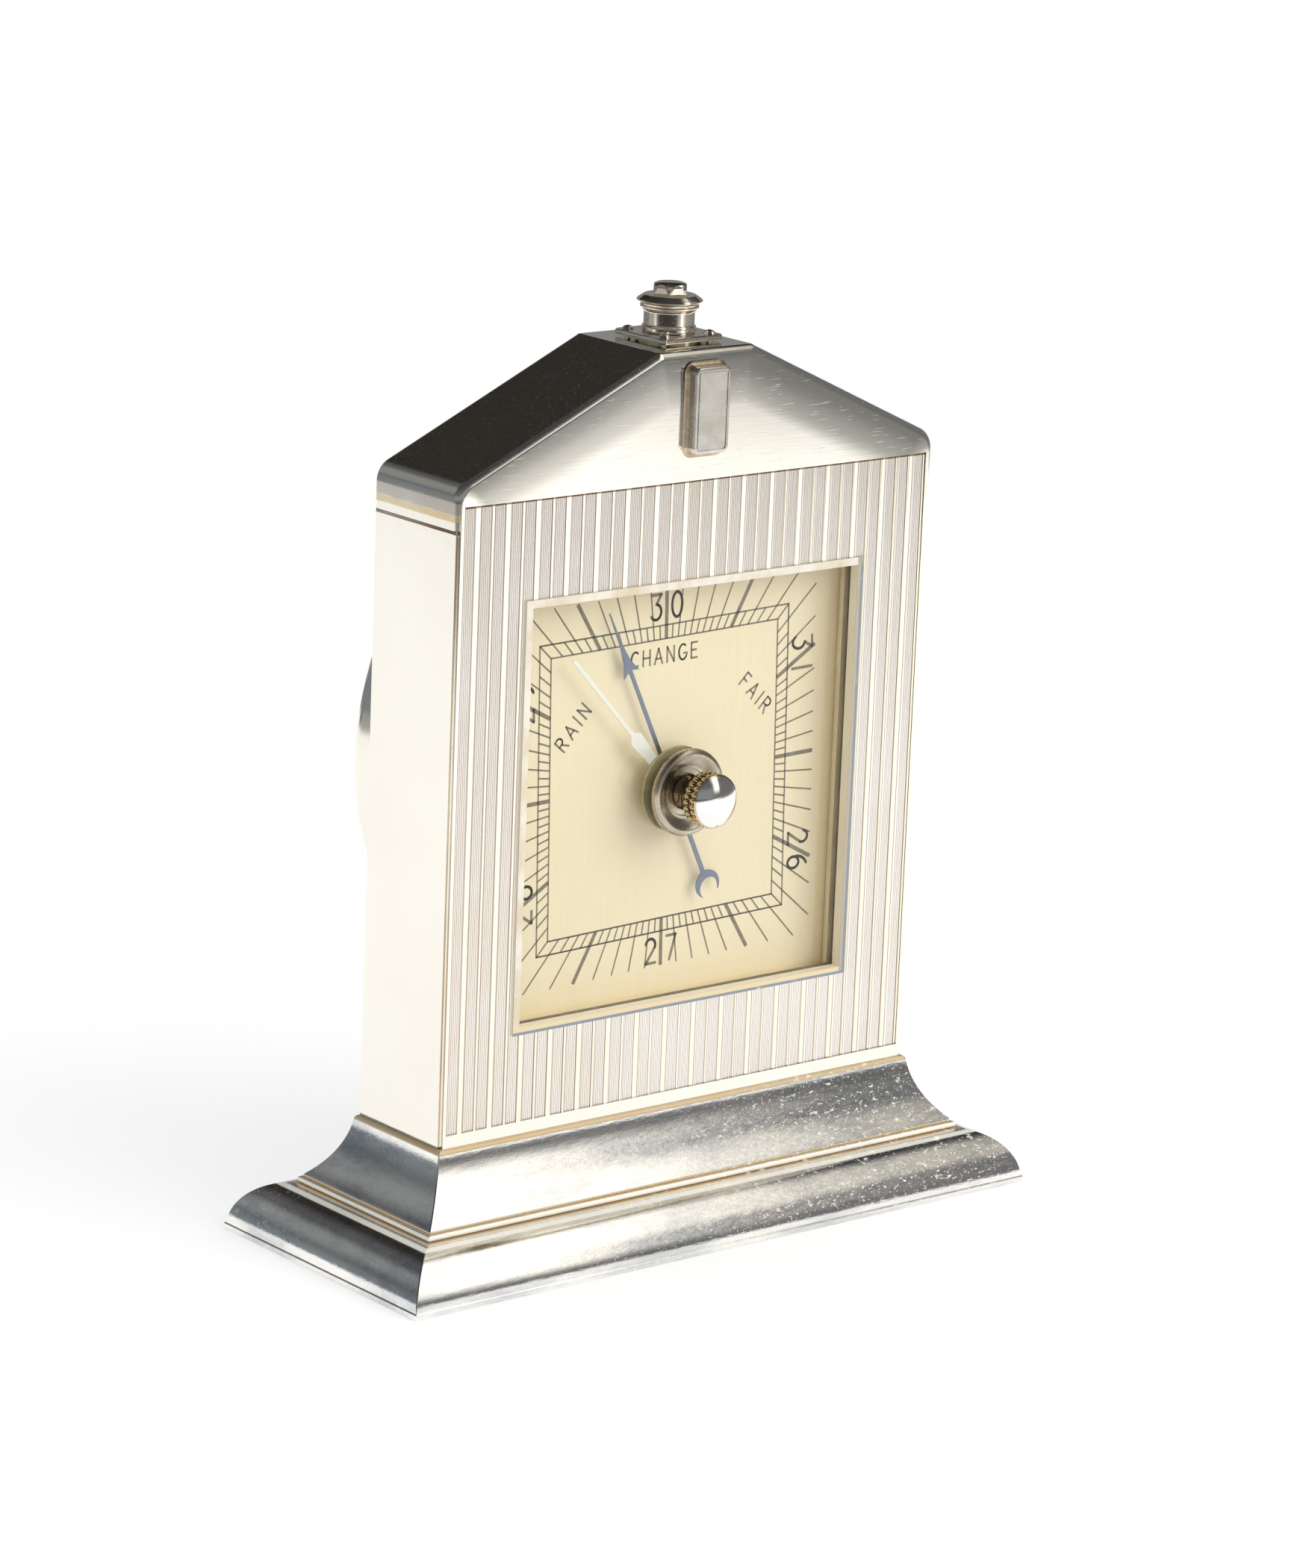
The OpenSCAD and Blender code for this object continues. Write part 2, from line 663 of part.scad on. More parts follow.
module pediment() {
    steps = 4;
    inner_back = back_y - cap_wall + cap_over_y;
    color("gainsboro") difference() {
        hull() for (s = [-1, 1], i = [0:steps])
            let (a = 90 * i / steps)
            roof_slice(s * (cap_back - edge_r * (1 - sin(a)) - 0.005), edge_r * (1 - cos(a)));
        // Hollow inside the roof and the skirts
        translate([0, inner_back, 0]) rotate([90, 0, 0])
            linear_extrude(inner_back - cap_front - cap_wall)
                roof_outline(cap_wall + 0.1, shoulder_r - cap_wall, skirt_z - 1);
        // Opening over the grille, between the front corners of the skirts
        translate([-panel_w / 2 - rail_w - side_fit, cap_front - 1, skirt_z - 1])
            cube([panel_w + 2 * rail_w + 2 * side_fit, cap_wall + 2, skirt_drop + 1]);
        // Opening over the back of the case
        translate([-cap_half + cap_wall + 0.1, inner_back - 1, skirt_z - 1])
            cube([2 * cap_half - 2 * cap_wall - 0.2, cap_wall + 3, skirt_drop + cap_back_gap + 1]);
        translate([filler_offset, 0, ridge_z - 3]) cylinder(d = filler_stud_d + 2 * seat_fit, h = 5);
        at_flange_screws() translate([0, 0, ridge_z - 3])
            cylinder(d = flange_screw_d + 2 * seat_fit, h = 5, $fn = small_fn);
    }
}

module rounded_plate(w, h, t, r) {
    linear_extrude(t) {
        square([w - 2 * r, h], center = true);
        square([w, h - 2 * r], center = true);
        for (sx = [-1, 1], sy = [-1, 1]) translate([sx * (w / 2 - r), sy * (h / 2 - r)])
            circle(r = r, $fn = small_fn);
    }
}

module badge_plate() {
    inner_badge_w = badge_w - 2 * badge_border;
    inner_badge_h = badge_h - 2 * badge_border;
    inner_r = badge_r - badge_border;
    color("gainsboro") to_front(-badge_offset, cap_front, face_z + badge_rise) difference() {
        rounded_plate(badge_w, badge_h, badge_t, badge_r);
        translate([0, 0, badge_t - badge_sink]) difference() {
            rounded_plate(inner_badge_w, inner_badge_h, badge_sink + 1, inner_r);
            translate([0, 0, -1])
                rounded_plate(inner_badge_w - 2 * badge_line, inner_badge_h - 2 * badge_line,
                    badge_sink + 3, inner_r - badge_line);
        }
        // Two lines that divide the plate into three bare panels
        for (share = [0.35, -0.31])
            translate([-inner_badge_w / 2, share * inner_badge_h - badge_line / 2, badge_t - badge_sink])
                cube([inner_badge_w, badge_line, badge_sink + 1]);
    }
}

// filler
flange_z = ridge_z + pad_t;
neck_z = flange_z + flange_t;
filler_cap_z = neck_z + neck_h;
hex_z = filler_cap_z + filler_cap_h;
filler_bore_d = filler_stud_d + 2 * seat_fit;

module filler_flange() {
    color("silver") translate([filler_offset, 0, 0]) difference() {
        union() {
            translate([0, 0, ridge_z]) cylinder(d = pad_d, h = pad_t);
            translate([0, 0, flange_z]) rounded_plate(flange_w, flange_w, flange_t, flange_r);
        }
        translate([0, 0, ridge_z - 1]) cylinder(d = filler_bore_d, h = 3, $fn = small_fn);
        for (sx = [-1, 1], sy = [-1, 1])
            translate([sx * flange_screw_at, sy * flange_screw_at, ridge_z - 1])
                cylinder(d = flange_screw_d + 2 * seat_fit, h = 3, $fn = small_fn);
    }
}

flange_screw_head_d = 1.5;
flange_screw_head_h = 0.45;
flange_screw_l = 1.7;

module flange_screws() {
    dome_r = (pow(flange_screw_head_d / 2, 2) + pow(flange_screw_head_h, 2)) / (2 * flange_screw_head_h);
    color("silver") at_flange_screws() {
        translate([0, 0, neck_z - flange_screw_l])
            cylinder(d = flange_screw_d, h = flange_screw_l, $fn = small_fn);
        translate([0, 0, neck_z]) intersection() {
            cylinder(d = flange_screw_head_d, h = 1, $fn = small_fn);
            translate([0, 0, flange_screw_head_h - dome_r]) sphere(r = dome_r, $fn = small_fn);
        }
    }
}

module filler_neck() {
    foot_r = neck_collar_d / 2;
    neck_r = neck_d / 2;
    color("silver") translate([filler_offset, 0, neck_z]) rotate_extrude() polygon([
        [filler_bore_d / 2, 0], [foot_r - 0.1, 0], [foot_r, 0.15], [foot_r, neck_collar_h - 0.2],
        [foot_r - 0.15, neck_collar_h], [neck_r, neck_collar_h + 0.1],
        [neck_r, neck_h], [filler_bore_d / 2, neck_h]]);
}

// The cap's rim, cone, band and ring, from the neck up
module filler_cap() {
    ring_d = 0.5 * (neck_d + neck_collar_d);
    ring_h = 0.2;
    band_z = ring_h + 0.1;
    band_h = 0.45;
    rim_z = 0.6 * filler_cap_h;
    rim_t = 0.22;
    top_r = filler_rim_d / 2 - 0.75;
    color("silver") translate([filler_offset, 0, filler_cap_z]) rotate_extrude() polygon([
        [filler_bore_d / 2, 0], [ring_d / 2, 0], [ring_d / 2, ring_h], [neck_d / 2, band_z],
        [filler_band_d / 2, band_z], [filler_band_d / 2, band_z + band_h],
        [neck_d / 2, band_z + band_h + 0.05], [filler_rim_d / 2 - 0.1, rim_z],
        [filler_rim_d / 2, rim_z + rim_t / 2], [filler_rim_d / 2 - 0.1, rim_z + rim_t],
        [top_r, filler_cap_h - 0.06], [top_r - 0.1, filler_cap_h],
        [filler_bore_d / 2, filler_cap_h]]);
}

module filler_hexagon() {
    crown = hex_h + 0.25;
    color("silver") translate([filler_offset, 0, hex_z]) difference() {
        intersection() {
            cylinder(d = hex_d, h = hex_h, $fn = 6);
            // Rounded crown over the hexagon
            rotate_extrude() polygon(concat([[0, 0], [hex_d / 2, 0]],
                arc(hex_d / 2 - 0.75, crown - 1, 0.75, 0, 75, 6), [[0, hex_h]]));
        }
        translate([0, 0, -eps]) cylinder(d = filler_bore_d, h = 0.5, $fn = small_fn);
    }
}

stud_under = 2.4;

module filler_stud() {
    color("goldenrod") translate([filler_offset, 0, ridge_z - cap_wall - stud_under])
        cylinder(d = filler_stud_d, h = hex_z + 0.3 - (ridge_z - cap_wall - stud_under));
}

module filler_nut() {
    color("goldenrod") translate([filler_offset, 0, ridge_z - cap_wall - 0.1 - 1.5]) difference() {
        cylinder(d = 4.4, h = 1.5, $fn = 6);
        translate([0, 0, -1]) cylinder(d = filler_bore_d, h = 4, $fn = small_fn);
    }
}

// back cover
setting_x = -hinge_reach + 0.8;
setting_z = dial_z;

module back_cover() {
    spigot_r = opening_r - side_fit;
    inner_r = spigot_r - drum_wall;
    inner_back = drum_back - drum_wall;
    color("silver") difference() {
        translate([0, back_y - spigot_h, drum_z]) rotate([-90, 0, 0]) rotate_extrude($fn = 96)
            polygon(concat([[inner_r, 0], [spigot_r, 0], [spigot_r, spigot_h], [drum_r, spigot_h]],
                arc(drum_r - drum_edge, spigot_h + drum_depth - drum_edge, drum_edge, 0, 90, 8),
                [[0, spigot_h + drum_depth], [0, spigot_h + drum_depth - drum_wall]],
                [[inner_r - drum_edge, spigot_h + drum_depth - drum_wall],
                    [inner_r, spigot_h + drum_depth - drum_wall - drum_edge]]));
        to_front(setting_x, drum_back + 1, setting_z) cylinder(d = setting_hole_d, h = drum_wall + 2);
    }
}

// movement
module at_pillars() {
    for (a = [45:90:315])
        to_front(pillar_ring * cos(a), 0, dial_z + pillar_ring * sin(a)) children();
}

pillar_screw_d = 1.4;
pillar_screw_head_d = 2.6;
pillar_grip = 2.8;

module movement_pillars() {
    color("goldenrod") at_pillars() translate([0, 0, -plate_front]) difference() {
        cylinder(d = pillar_d, h = movement_depth, $fn = small_fn);
        translate([0, 0, -eps])
            cylinder(d = pillar_screw_d + 2 * seat_fit, h = pillar_grip + 0.4, $fn = small_fn);
    }
}

// A slotted cheese head with its shank, head underside at local zero
module slotted_screw(d, head_d, head_h, l) {
    cylinder(d = d, h = l, $fn = small_fn);
    translate([0, 0, -head_h]) difference() {
        cylinder(d = head_d, h = head_h, $fn = small_fn);
        translate([-head_d / 2, -0.15, -eps]) cube([head_d, 0.3, 0.3]);
    }
}

module pillar_screws() {
    color("slateblue") at_pillars() translate([0, 0, -plate_back])
        slotted_screw(pillar_screw_d, pillar_screw_head_d, 0.8, plate_t + pillar_grip);
}

bracket_x = rocker_reach;
bracket_t = 1.5;
foot_t = 0.9;
bracket_at = rocker_l / 2 + bracket_t / 2 + run_fit;
foot_l = 4;
foot_screw_d = 1.2;
small_head_d = 2.2;
spring_foot_x = -hinge_reach + 3.2;
spring_screw_z = 2.4;

module movement_plate() {
    color("gold") difference() {
        to_front(0, plate_back, dial_z) cylinder(r = plate_r, h = plate_t, $fn = 96);
        at_pillars() translate([0, 0, -plate_back - 1])
            cylinder(d = pillar_screw_d + 2 * seat_fit, h = plate_t + 2, $fn = small_fn);
        to_front(0, plate_back + 1, dial_z)
            cylinder(d = capsule_stud_d + 2 * seat_fit, h = plate_t + 2, $fn = small_fn);
        for (sz = [-1, 1]) {
            to_front(0, plate_back + 1, dial_z + sz * cock_ring)
                cylinder(d = cock_screw_d + 2 * seat_fit, h = plate_t + 2, $fn = small_fn);
            to_front(bracket_x + foot_l / 2 + 1.4, plate_back + 1, dial_z + sz * bracket_at)
                cylinder(d = foot_screw_d + 2 * seat_fit, h = plate_t + 2, $fn = small_fn);
            to_front(spring_foot_x, plate_back + 1, dial_z + sz * spring_screw_z)
                cylinder(d = foot_screw_d + 2 * seat_fit, h = plate_t + 2, $fn = small_fn);
        }
        to_front(setting_x, plate_back + 1, setting_z)
            cylinder(d = setting_screw_d + 2 * run_fit, h = plate_t + 2, $fn = small_fn);
    }
}

// The capsule's face: a rim, rings of corrugation and a flat boss
capsule_stud_d = 2;
capsule_boss_r = 2.4;
capsule_boss_h = 0.4;
capsule_back = plate_front - 0.3;
capsule_front = capsule_back - capsule_t;
capsule_steps = 6 * corrugations;
capsule_rim = 1.2;
function capsule_face(side) =
    [for (i = [0:capsule_steps])
        let (s = i / capsule_steps, inner = capsule_boss_r + 0.2,
            r = inner + (capsule_r - capsule_rim - inner) * s)
        [r, side * (capsule_t / 2 - corrugation_h / 2 - corrugation_h / 2 * cos(360 * corrugations * s))]];

module vacuum_capsule() {
    front_face = capsule_face(1);
    back_face = capsule_face(-1);
    half_t = capsule_t / 2;
    color("goldenrod") to_front(0, (capsule_back + capsule_front) / 2, dial_z) {
        rotate_extrude($fn = 96) polygon(concat(
            [[0, -half_t - 0.3], [capsule_boss_r, -half_t - 0.3], [capsule_boss_r, -half_t + corrugation_h]],
            back_face, [[capsule_r - 0.6, -0.9], [capsule_r, -0.3], [capsule_r, 0.3], [capsule_r - 0.6, 0.9]],
            [for (i = [0:capsule_steps]) front_face[capsule_steps - i]],
            [[capsule_boss_r, half_t - corrugation_h], [capsule_boss_r, half_t + capsule_boss_h],
                [0, half_t + capsule_boss_h]]));
        translate([0, 0, -half_t - 0.3 - plate_t - 1.1])
            cylinder(d = capsule_stud_d, h = plate_t + 1.2, $fn = small_fn);
    }
}

module capsule_nut() {
    color("gold") to_front(0, plate_back + 0.9, dial_z) difference() {
        cylinder(d = 4.6, h = 0.9, $fn = 6);
        translate([0, 0, -1]) cylinder(d = capsule_stud_d + 2 * seat_fit, h = 3, $fn = small_fn);
    }
}

// The main spring bends from its foot on the plate round to the lever, which turns about the bend
lever_back = capsule_front - capsule_boss_h - 0.75;
lever_front = lever_back - lever_t;

module main_spring() {
    bend_x = -hinge_reach;
    outer_r = (plate_front - lever_back) / 2;
    bend_y = (plate_front + lever_back) / 2;
    toe_x = -capsule_r - 0.6;
    color("steelblue") difference() {
        translate([0, 0, dial_z - spring_w / 2]) linear_extrude(spring_w) {
            difference() {
                translate([bend_x, bend_y]) circle(r = outer_r);
                translate([bend_x, bend_y]) circle(r = outer_r - spring_t);
                translate([bend_x, bend_y - outer_r - 1]) square([outer_r + 1, 2 * outer_r + 2]);
            }
            translate([bend_x, plate_front - spring_t]) square([toe_x - bend_x, spring_t]);
            translate([bend_x, lever_back]) square([toe_x - bend_x, spring_t]);
        }
        for (sz = [-1, 1]) to_front(spring_foot_x, plate_front + 1, dial_z + sz * spring_screw_z)
            cylinder(d = foot_screw_d + 2 * seat_fit, h = spring_t + 1.4, $fn = small_fn);
    }
}

module spring_screws() {
    color("slateblue") for (sz = [-1, 1]) to_front(spring_foot_x, plate_back, dial_z + sz * spring_screw_z)
        slotted_screw(foot_screw_d, small_head_d, 0.7, plate_t + spring_t);
}

// The lever runs over the capsule to a finger with a fork round the crank pin
shaft_y = plate_front - rocker_lift;
pin_x = rocker_reach - crank_r * cos(rocker_rest);
pin_y = shaft_y + crank_r * sin(rocker_rest);
pin_d = 0.7;
fork_play = 0.08;
fork_z0 = 0.9;
fork_t = 0.6;
finger_w = 1.2;
finger_x = capsule_r - 1.2;

module main_lever() {
    slot_h = pin_d + 2 * fork_play;
    prong = 0.45;
    link_x0 = pin_x - pin_d / 2 - 0.75;
    link_x1 = pin_x + 0.35;
    mid_z = fork_z0 + fork_t / 2;
    root_x = -hinge_reach + 2.4;
    color("gold") difference() {
        union() {
            // Tapered arm and its offset finger
            translate([0, lever_back, dial_z]) rotate([90, 0, 0]) linear_extrude(lever_t) {
                polygon([[root_x, -lever_root_w / 2], [root_x + 3, -lever_root_w / 2],
                    [finger_x, mid_z - 0.8], [finger_x, mid_z + 0.8],
                    [root_x + 3, lever_root_w / 2], [root_x, lever_root_w / 2]]);
                translate([finger_x - 1, mid_z - finger_w / 2]) square([link_x1 - finger_x + 1, finger_w]);
            }
            // Drop link with the fork, open towards the shaft
            translate([link_x0, lever_back - eps, dial_z + fork_z0])
                cube([link_x1 - link_x0, pin_y + slot_h / 2 + prong - lever_back + eps, fork_t]);
        }
        translate([pin_x - pin_d / 2 - 0.3, pin_y - slot_h / 2, dial_z + fork_z0 - 1])
            cube([5, slot_h, fork_t + 2]);
        to_front(0, lever_back + 1, dial_z) cylinder(d = lever_hole_d, h = lever_t + 2, $fn = small_fn);
    }
}
capsule_post_d = 1.2;
lever_hole_d = capsule_post_d + 2 * seat_fit;

module capsule_post() {
    color("silver") {
        to_front(0, capsule_front - capsule_boss_h, dial_z)
            cylinder(d = capsule_post_d, h = capsule_front - capsule_boss_h - lever_front, $fn = small_fn);
        to_front(0, lever_front, dial_z) cylinder(d = 2, h = 0.35, $fn = small_fn);
    }
}

pivot_d = 0.8;
pivot_l = 1.2;

module rocker_brackets() {
    color("gold") for (sz = [-1, 1]) difference() {
        union() {
            plate_box(3, rocker_lift + 1.4, bracket_t, x = bracket_x,
                y = plate_front - (rocker_lift + 1.4) / 2, z = dial_z + sz * bracket_at - bracket_t / 2);
            plate_box(foot_l, foot_t, 3, x = bracket_x + foot_l / 2 + 0.6, y = plate_front - foot_t / 2,
                z = dial_z + sz * bracket_at - 1.5);
        }
        translate([bracket_x, shaft_y, dial_z + sz * bracket_at - bracket_t])
            cylinder(d = pivot_d + 2 * run_fit, h = 2 * bracket_t, $fn = small_fn);
        to_front(bracket_x + foot_l / 2 + 1.4, plate_front + 1, dial_z + sz * bracket_at)
            cylinder(d = foot_screw_d + 2 * seat_fit, h = foot_t + 1.7, $fn = small_fn);
    }
}

module bracket_screws() {
    color("slateblue") for (sz = [-1, 1])
        to_front(bracket_x + foot_l / 2 + 1.4, plate_back, dial_z + sz * bracket_at)
            slotted_screw(foot_screw_d, small_head_d, 0.7, plate_t + foot_t);
}

chain_y = cock_front_back + cock_gap / 2 - 0.55;
arm_tip = shaft_y - chain_y;

// Shaft, pivots and crank, turned from the middle of its swing to the rest reading
module on_rocker() {
    translate([rocker_reach, shaft_y, dial_z]) rotate([0, 0, -rocker_rest]) children();
}

module rocking_shaft() {
    crank_z = fork_z0 + fork_t + 0.3;
    crank_t = 0.6;
    color("silver") on_rocker() {
        translate([0, 0, -rocker_l / 2]) cylinder(d = rocker_d, h = rocker_l, $fn = small_fn);
        for (s = [-1, 1]) translate([0, 0, s * (rocker_l + pivot_l) / 2 - pivot_l / 2])
            cylinder(d = pivot_d, h = pivot_l, $fn = small_fn);
        translate([-crank_r, -0.5, crank_z]) cube([crank_r, 1, crank_t]);
        translate([-crank_r, 0, crank_z]) cylinder(r = 0.6, h = crank_t, $fn = small_fn);
        translate([-crank_r, 0, fork_z0 - 0.3])
            cylinder(d = pin_d, h = crank_z - fork_z0 + 0.5, $fn = small_fn);
    }
}

arm_d = 0.8;
arm_hub_t = 1.2;

module chain_arm() {
    color("gold") on_rocker() translate([0, 0, -pulley_r]) {
        difference() {
            translate([0, 0, -arm_hub_t / 2]) cylinder(d = rocker_d + 1.4, h = arm_hub_t, $fn = small_fn);
            translate([0, 0, -arm_hub_t]) cylinder(d = rocker_d + 2 * seat_fit, h = 3, $fn = small_fn);
        }
        translate([0, -rocker_d / 2 - 0.3, 0]) rotate([90, 0, 0])
            cylinder(d = arm_d, h = arm_tip + 0.2 - rocker_d / 2 - 0.3, $fn = small_fn);
    }
}

// Two cocks on pillars carry the pointer arbor
cock_screw_d = 1.2;
cock_pillar_d = 3.2;
cock_post_d = 3.6;
arbor_pivot_d = 0.5;

module cock_pillars() {
    color("gold") for (sz = [-1, 1]) to_front(0, plate_front, dial_z + sz * cock_ring) difference() {
        cylinder(d = cock_pillar_d, h = plate_front - cock_rear_back, $fn = small_fn);
        translate([0, 0, -eps]) cylinder(d = cock_screw_d + 2 * seat_fit, h = 20, $fn = small_fn);
    }
}

module cock_bar(y_back, bore) {
    to_front(0, y_back, dial_z) linear_extrude(cock_t) difference() {
        union() {
            square([cock_w, 2 * cock_ring], center = true);
            for (sz = [-1, 1]) translate([0, sz * cock_ring]) circle(d = cock_w, $fn = small_fn);
        }
        circle(d = bore, $fn = small_fn);
        for (sz = [-1, 1]) translate([0, sz * cock_ring])
            circle(d = cock_screw_d + 2 * seat_fit, $fn = small_fn);
    }
}

module rear_cock() {
    color("gold") cock_bar(cock_rear_back, arbor_pivot_d + 2 * run_fit);
}

module front_cock() {
    color("gold") {
        cock_bar(cock_front_back, arbor_d + 2 * run_fit);
        for (sz = [-1, 1]) to_front(0, cock_rear_front, dial_z + sz * cock_ring) difference() {
            cylinder(d = cock_post_d, h = cock_gap, $fn = small_fn);
            translate([0, 0, -1]) cylinder(d = cock_screw_d + 2 * seat_fit, h = cock_gap + 2, $fn = small_fn);
        }
    }
}

module cock_screws() {
    color("slateblue") for (sz = [-1, 1]) to_front(0, plate_back, dial_z + sz * cock_ring)
        slotted_screw(cock_screw_d, small_head_d, 0.7, plate_back - cock_front_front);
}

pointer_back = dial_front - pointer_gap;
pointer_front = pointer_back - pointer_t;

module pointer_arbor() {
    front_end = pointer_front - 0.1;
    color("silver") to_front(0, cock_rear_front, dial_z) {
        cylinder(d = arbor_d, h = cock_rear_front - front_end, $fn = small_fn);
        translate([0, 0, -cock_t + 0.05]) cylinder(d = arbor_pivot_d, h = cock_t, $fn = small_fn);
    }
}

module chain_pulley() {
    h = 0.9;
    flange = 0.2;
    color("gold") to_front(0, chain_y + h / 2, dial_z) difference() {
        union() {
            cylinder(r = pulley_r - chain_t / 2, h = h, $fn = small_fn);
            for (z = [0, h - flange]) translate([0, 0, z])
                cylinder(r = pulley_r + 0.35, h = flange, $fn = small_fn);
        }
        translate([0, 0, -1]) cylinder(d = arbor_d + 2 * seat_fit, h = 3, $fn = small_fn);
    }
}

chain_t = 0.3;

// Fine chain from the arm's tip to the underside of the pulley
module pull_chain() {
    tip_x = rocker_reach - arm_tip * sin(rocker_rest);
    links = 11;
    start = arm_d / 2 + 0.12;
    pitch = (tip_x - start) / links;
    color("silver") translate([0, chain_y, dial_z - pulley_r])
        for (i = [0:links - 1]) translate([i * pitch, 0, 0]) {
            translate([0, -chain_t / 2, -chain_t / 4]) cube([pitch + 0.1, chain_t, chain_t / 2]);
            translate([0.25, -0.12, -chain_t / 2]) cube([pitch - 0.5, 0.24, chain_t]);
        }
}

hair_y = cock_rear_front - 0.55;
hair_t = 0.25;
hair_w = 0.12;
hair_r0 = arbor_d / 2 + hair_w / 2 + 0.04;
hair_r1 = 4.4;
hair_steps = 24;

function hair_r(s) = hair_r0 + (hair_r1 - hair_r0) * s;
function hair_point(s, side) =
    let (a = 90 + 360 * hairspring_turns * (s - 1), r = hair_r(s) + side * hair_w / 2)
    [r * cos(a), r * sin(a)];

module hairspring() {
    count = hairspring_turns * hair_steps;
    color("steelblue") to_front(0, hair_y, dial_z) linear_extrude(hair_t) polygon(concat(
        [for (i = [0:count]) hair_point(i / count, 1)],
        [for (i = [0:count]) hair_point(1 - i / count, -1)]));
}

module hairspring_stud() {
    color("gold") to_front(0, cock_rear_front, dial_z + hair_r1 + hair_w / 2 + 0.37)
        cylinder(d = 0.7, h = cock_rear_front - hair_y + hair_t + 0.2, $fn = small_fn);
}

// hands
// Local +Y of a hand runs from its axis to its tip
module on_hand(z, y_back, angle) {
    translate([0, y_back, z]) rotate([90, 0, 0]) rotate([0, 0, -angle]) children();
}

module pointer() {
    barb = 1.17;
    barb_y = pointer_l - 8.35;
    notch_y = pointer_l - 7.9;
    head_tip = pointer_l - 4.2;
    half = stem_w / 2;
    hub_r = 1.3;
    bore = arbor_d + 2 * seat_fit;
    stem_foot = -pointer_tail + crescent_r * 0.7;
    bite_r = crescent_r * 0.78;
    bite_shift = crescent_r * 0.323;
    color("midnightblue") on_hand(dial_z, pointer_back, pointer_angle) {
        linear_extrude(pointer_t) difference() {
            union() {
                circle(r = hub_r, $fn = small_fn);
                // Tapered stem from the crescent to the arrowhead
                polygon([[-half * 1.1, stem_foot], [half * 1.1, stem_foot], [half * 0.9, notch_y + 1],
                    [-half * 0.9, notch_y + 1]]);
                // Arrowhead with two barbs, drawn out into a needle
                polygon([[half, notch_y], [barb, barb_y], [0.55, barb_y + 1.5], [0.3, barb_y + 3],
                    [0.16, head_tip], [0.05, pointer_l], [-0.05, pointer_l], [-0.16, head_tip],
                    [-0.3, barb_y + 3], [-0.55, barb_y + 1.5], [-barb, barb_y], [-half, notch_y]]);
                translate([0, -pointer_tail]) difference() {
                    circle(r = crescent_r);
                    translate([0, -bite_shift]) circle(r = bite_r);
                }
            }
            circle(d = bore, $fn = small_fn);
        }
        translate([0, 0, -0.5]) difference() {
            cylinder(r = 0.95, h = 0.5, $fn = small_fn);
            translate([0, 0, -1]) cylinder(d = bore, h = 3, $fn = small_fn);
        }
    }
}

// The dished collar's sleeve passes through the glass and takes the nut behind it
sleeve_back = glass_back + bush_nut_t + 0.06;
spindle_bore_d = spindle_d + 2 * run_fit;
dish_floor = 0.3;
dish_step_h = 0.25;

module dish_collar() {
    r = dish_d / 2;
    bulge = dish_h / 2;
    well_r = r - 2 * bulge - 0.75;
    color("silver") to_front(0, grille_back, window_z) {
        rotate_extrude($fn = 96) polygon(concat(
            [[spindle_bore_d / 2, 0], [r - bulge, 0]],
            arc(r - bulge, bulge, bulge, -90, 130, 14),
            [[well_r + 0.15, dish_floor + dish_step_h + 0.1], [well_r, dish_floor + dish_step_h],
                [well_r - 0.35, dish_floor + dish_step_h], [well_r - 0.4, dish_floor],
                [spindle_bore_d / 2, dish_floor]]));
        translate([0, 0, grille_back - sleeve_back]) difference() {
            cylinder(d = bush_d, h = sleeve_back - grille_back + 0.05, $fn = small_fn);
            translate([0, 0, -1]) cylinder(d = spindle_bore_d, h = 5, $fn = small_fn);
        }
    }
}

module bush_nut() {
    color("goldenrod") to_front(0, glass_back + bush_nut_t, window_z) difference() {
        cylinder(d = bush_nut_d, h = bush_nut_t);
        translate([0, 0, -1]) cylinder(d = bush_d + 2 * seat_fit, h = 3, $fn = small_fn);
        // Two slots across the back for a key
        translate([-bush_nut_d / 2 - 1, -0.3, -eps]) cube([bush_nut_d + 2, 0.6, 0.2]);
    }
}

knob_seat = grille_back - dish_floor - run_fit;
rings_y = knob_seat - knob_neck_h;
set_front = sleeve_back + run_fit;
set_back = set_front + set_t;
spindle_back = set_back + 0.08;

// Ring of round beads side by side
module knurled_ring() {
    linear_extrude(knob_ring_t) {
        circle(r = knob_d / 2 - knurl_r * 0.75);
        for (i = [0:knurl_count - 1]) rotate(i * 360 / knurl_count)
            translate([knob_d / 2 - knurl_r, 0]) circle(r = knurl_r, $fn = 16);
    }
}

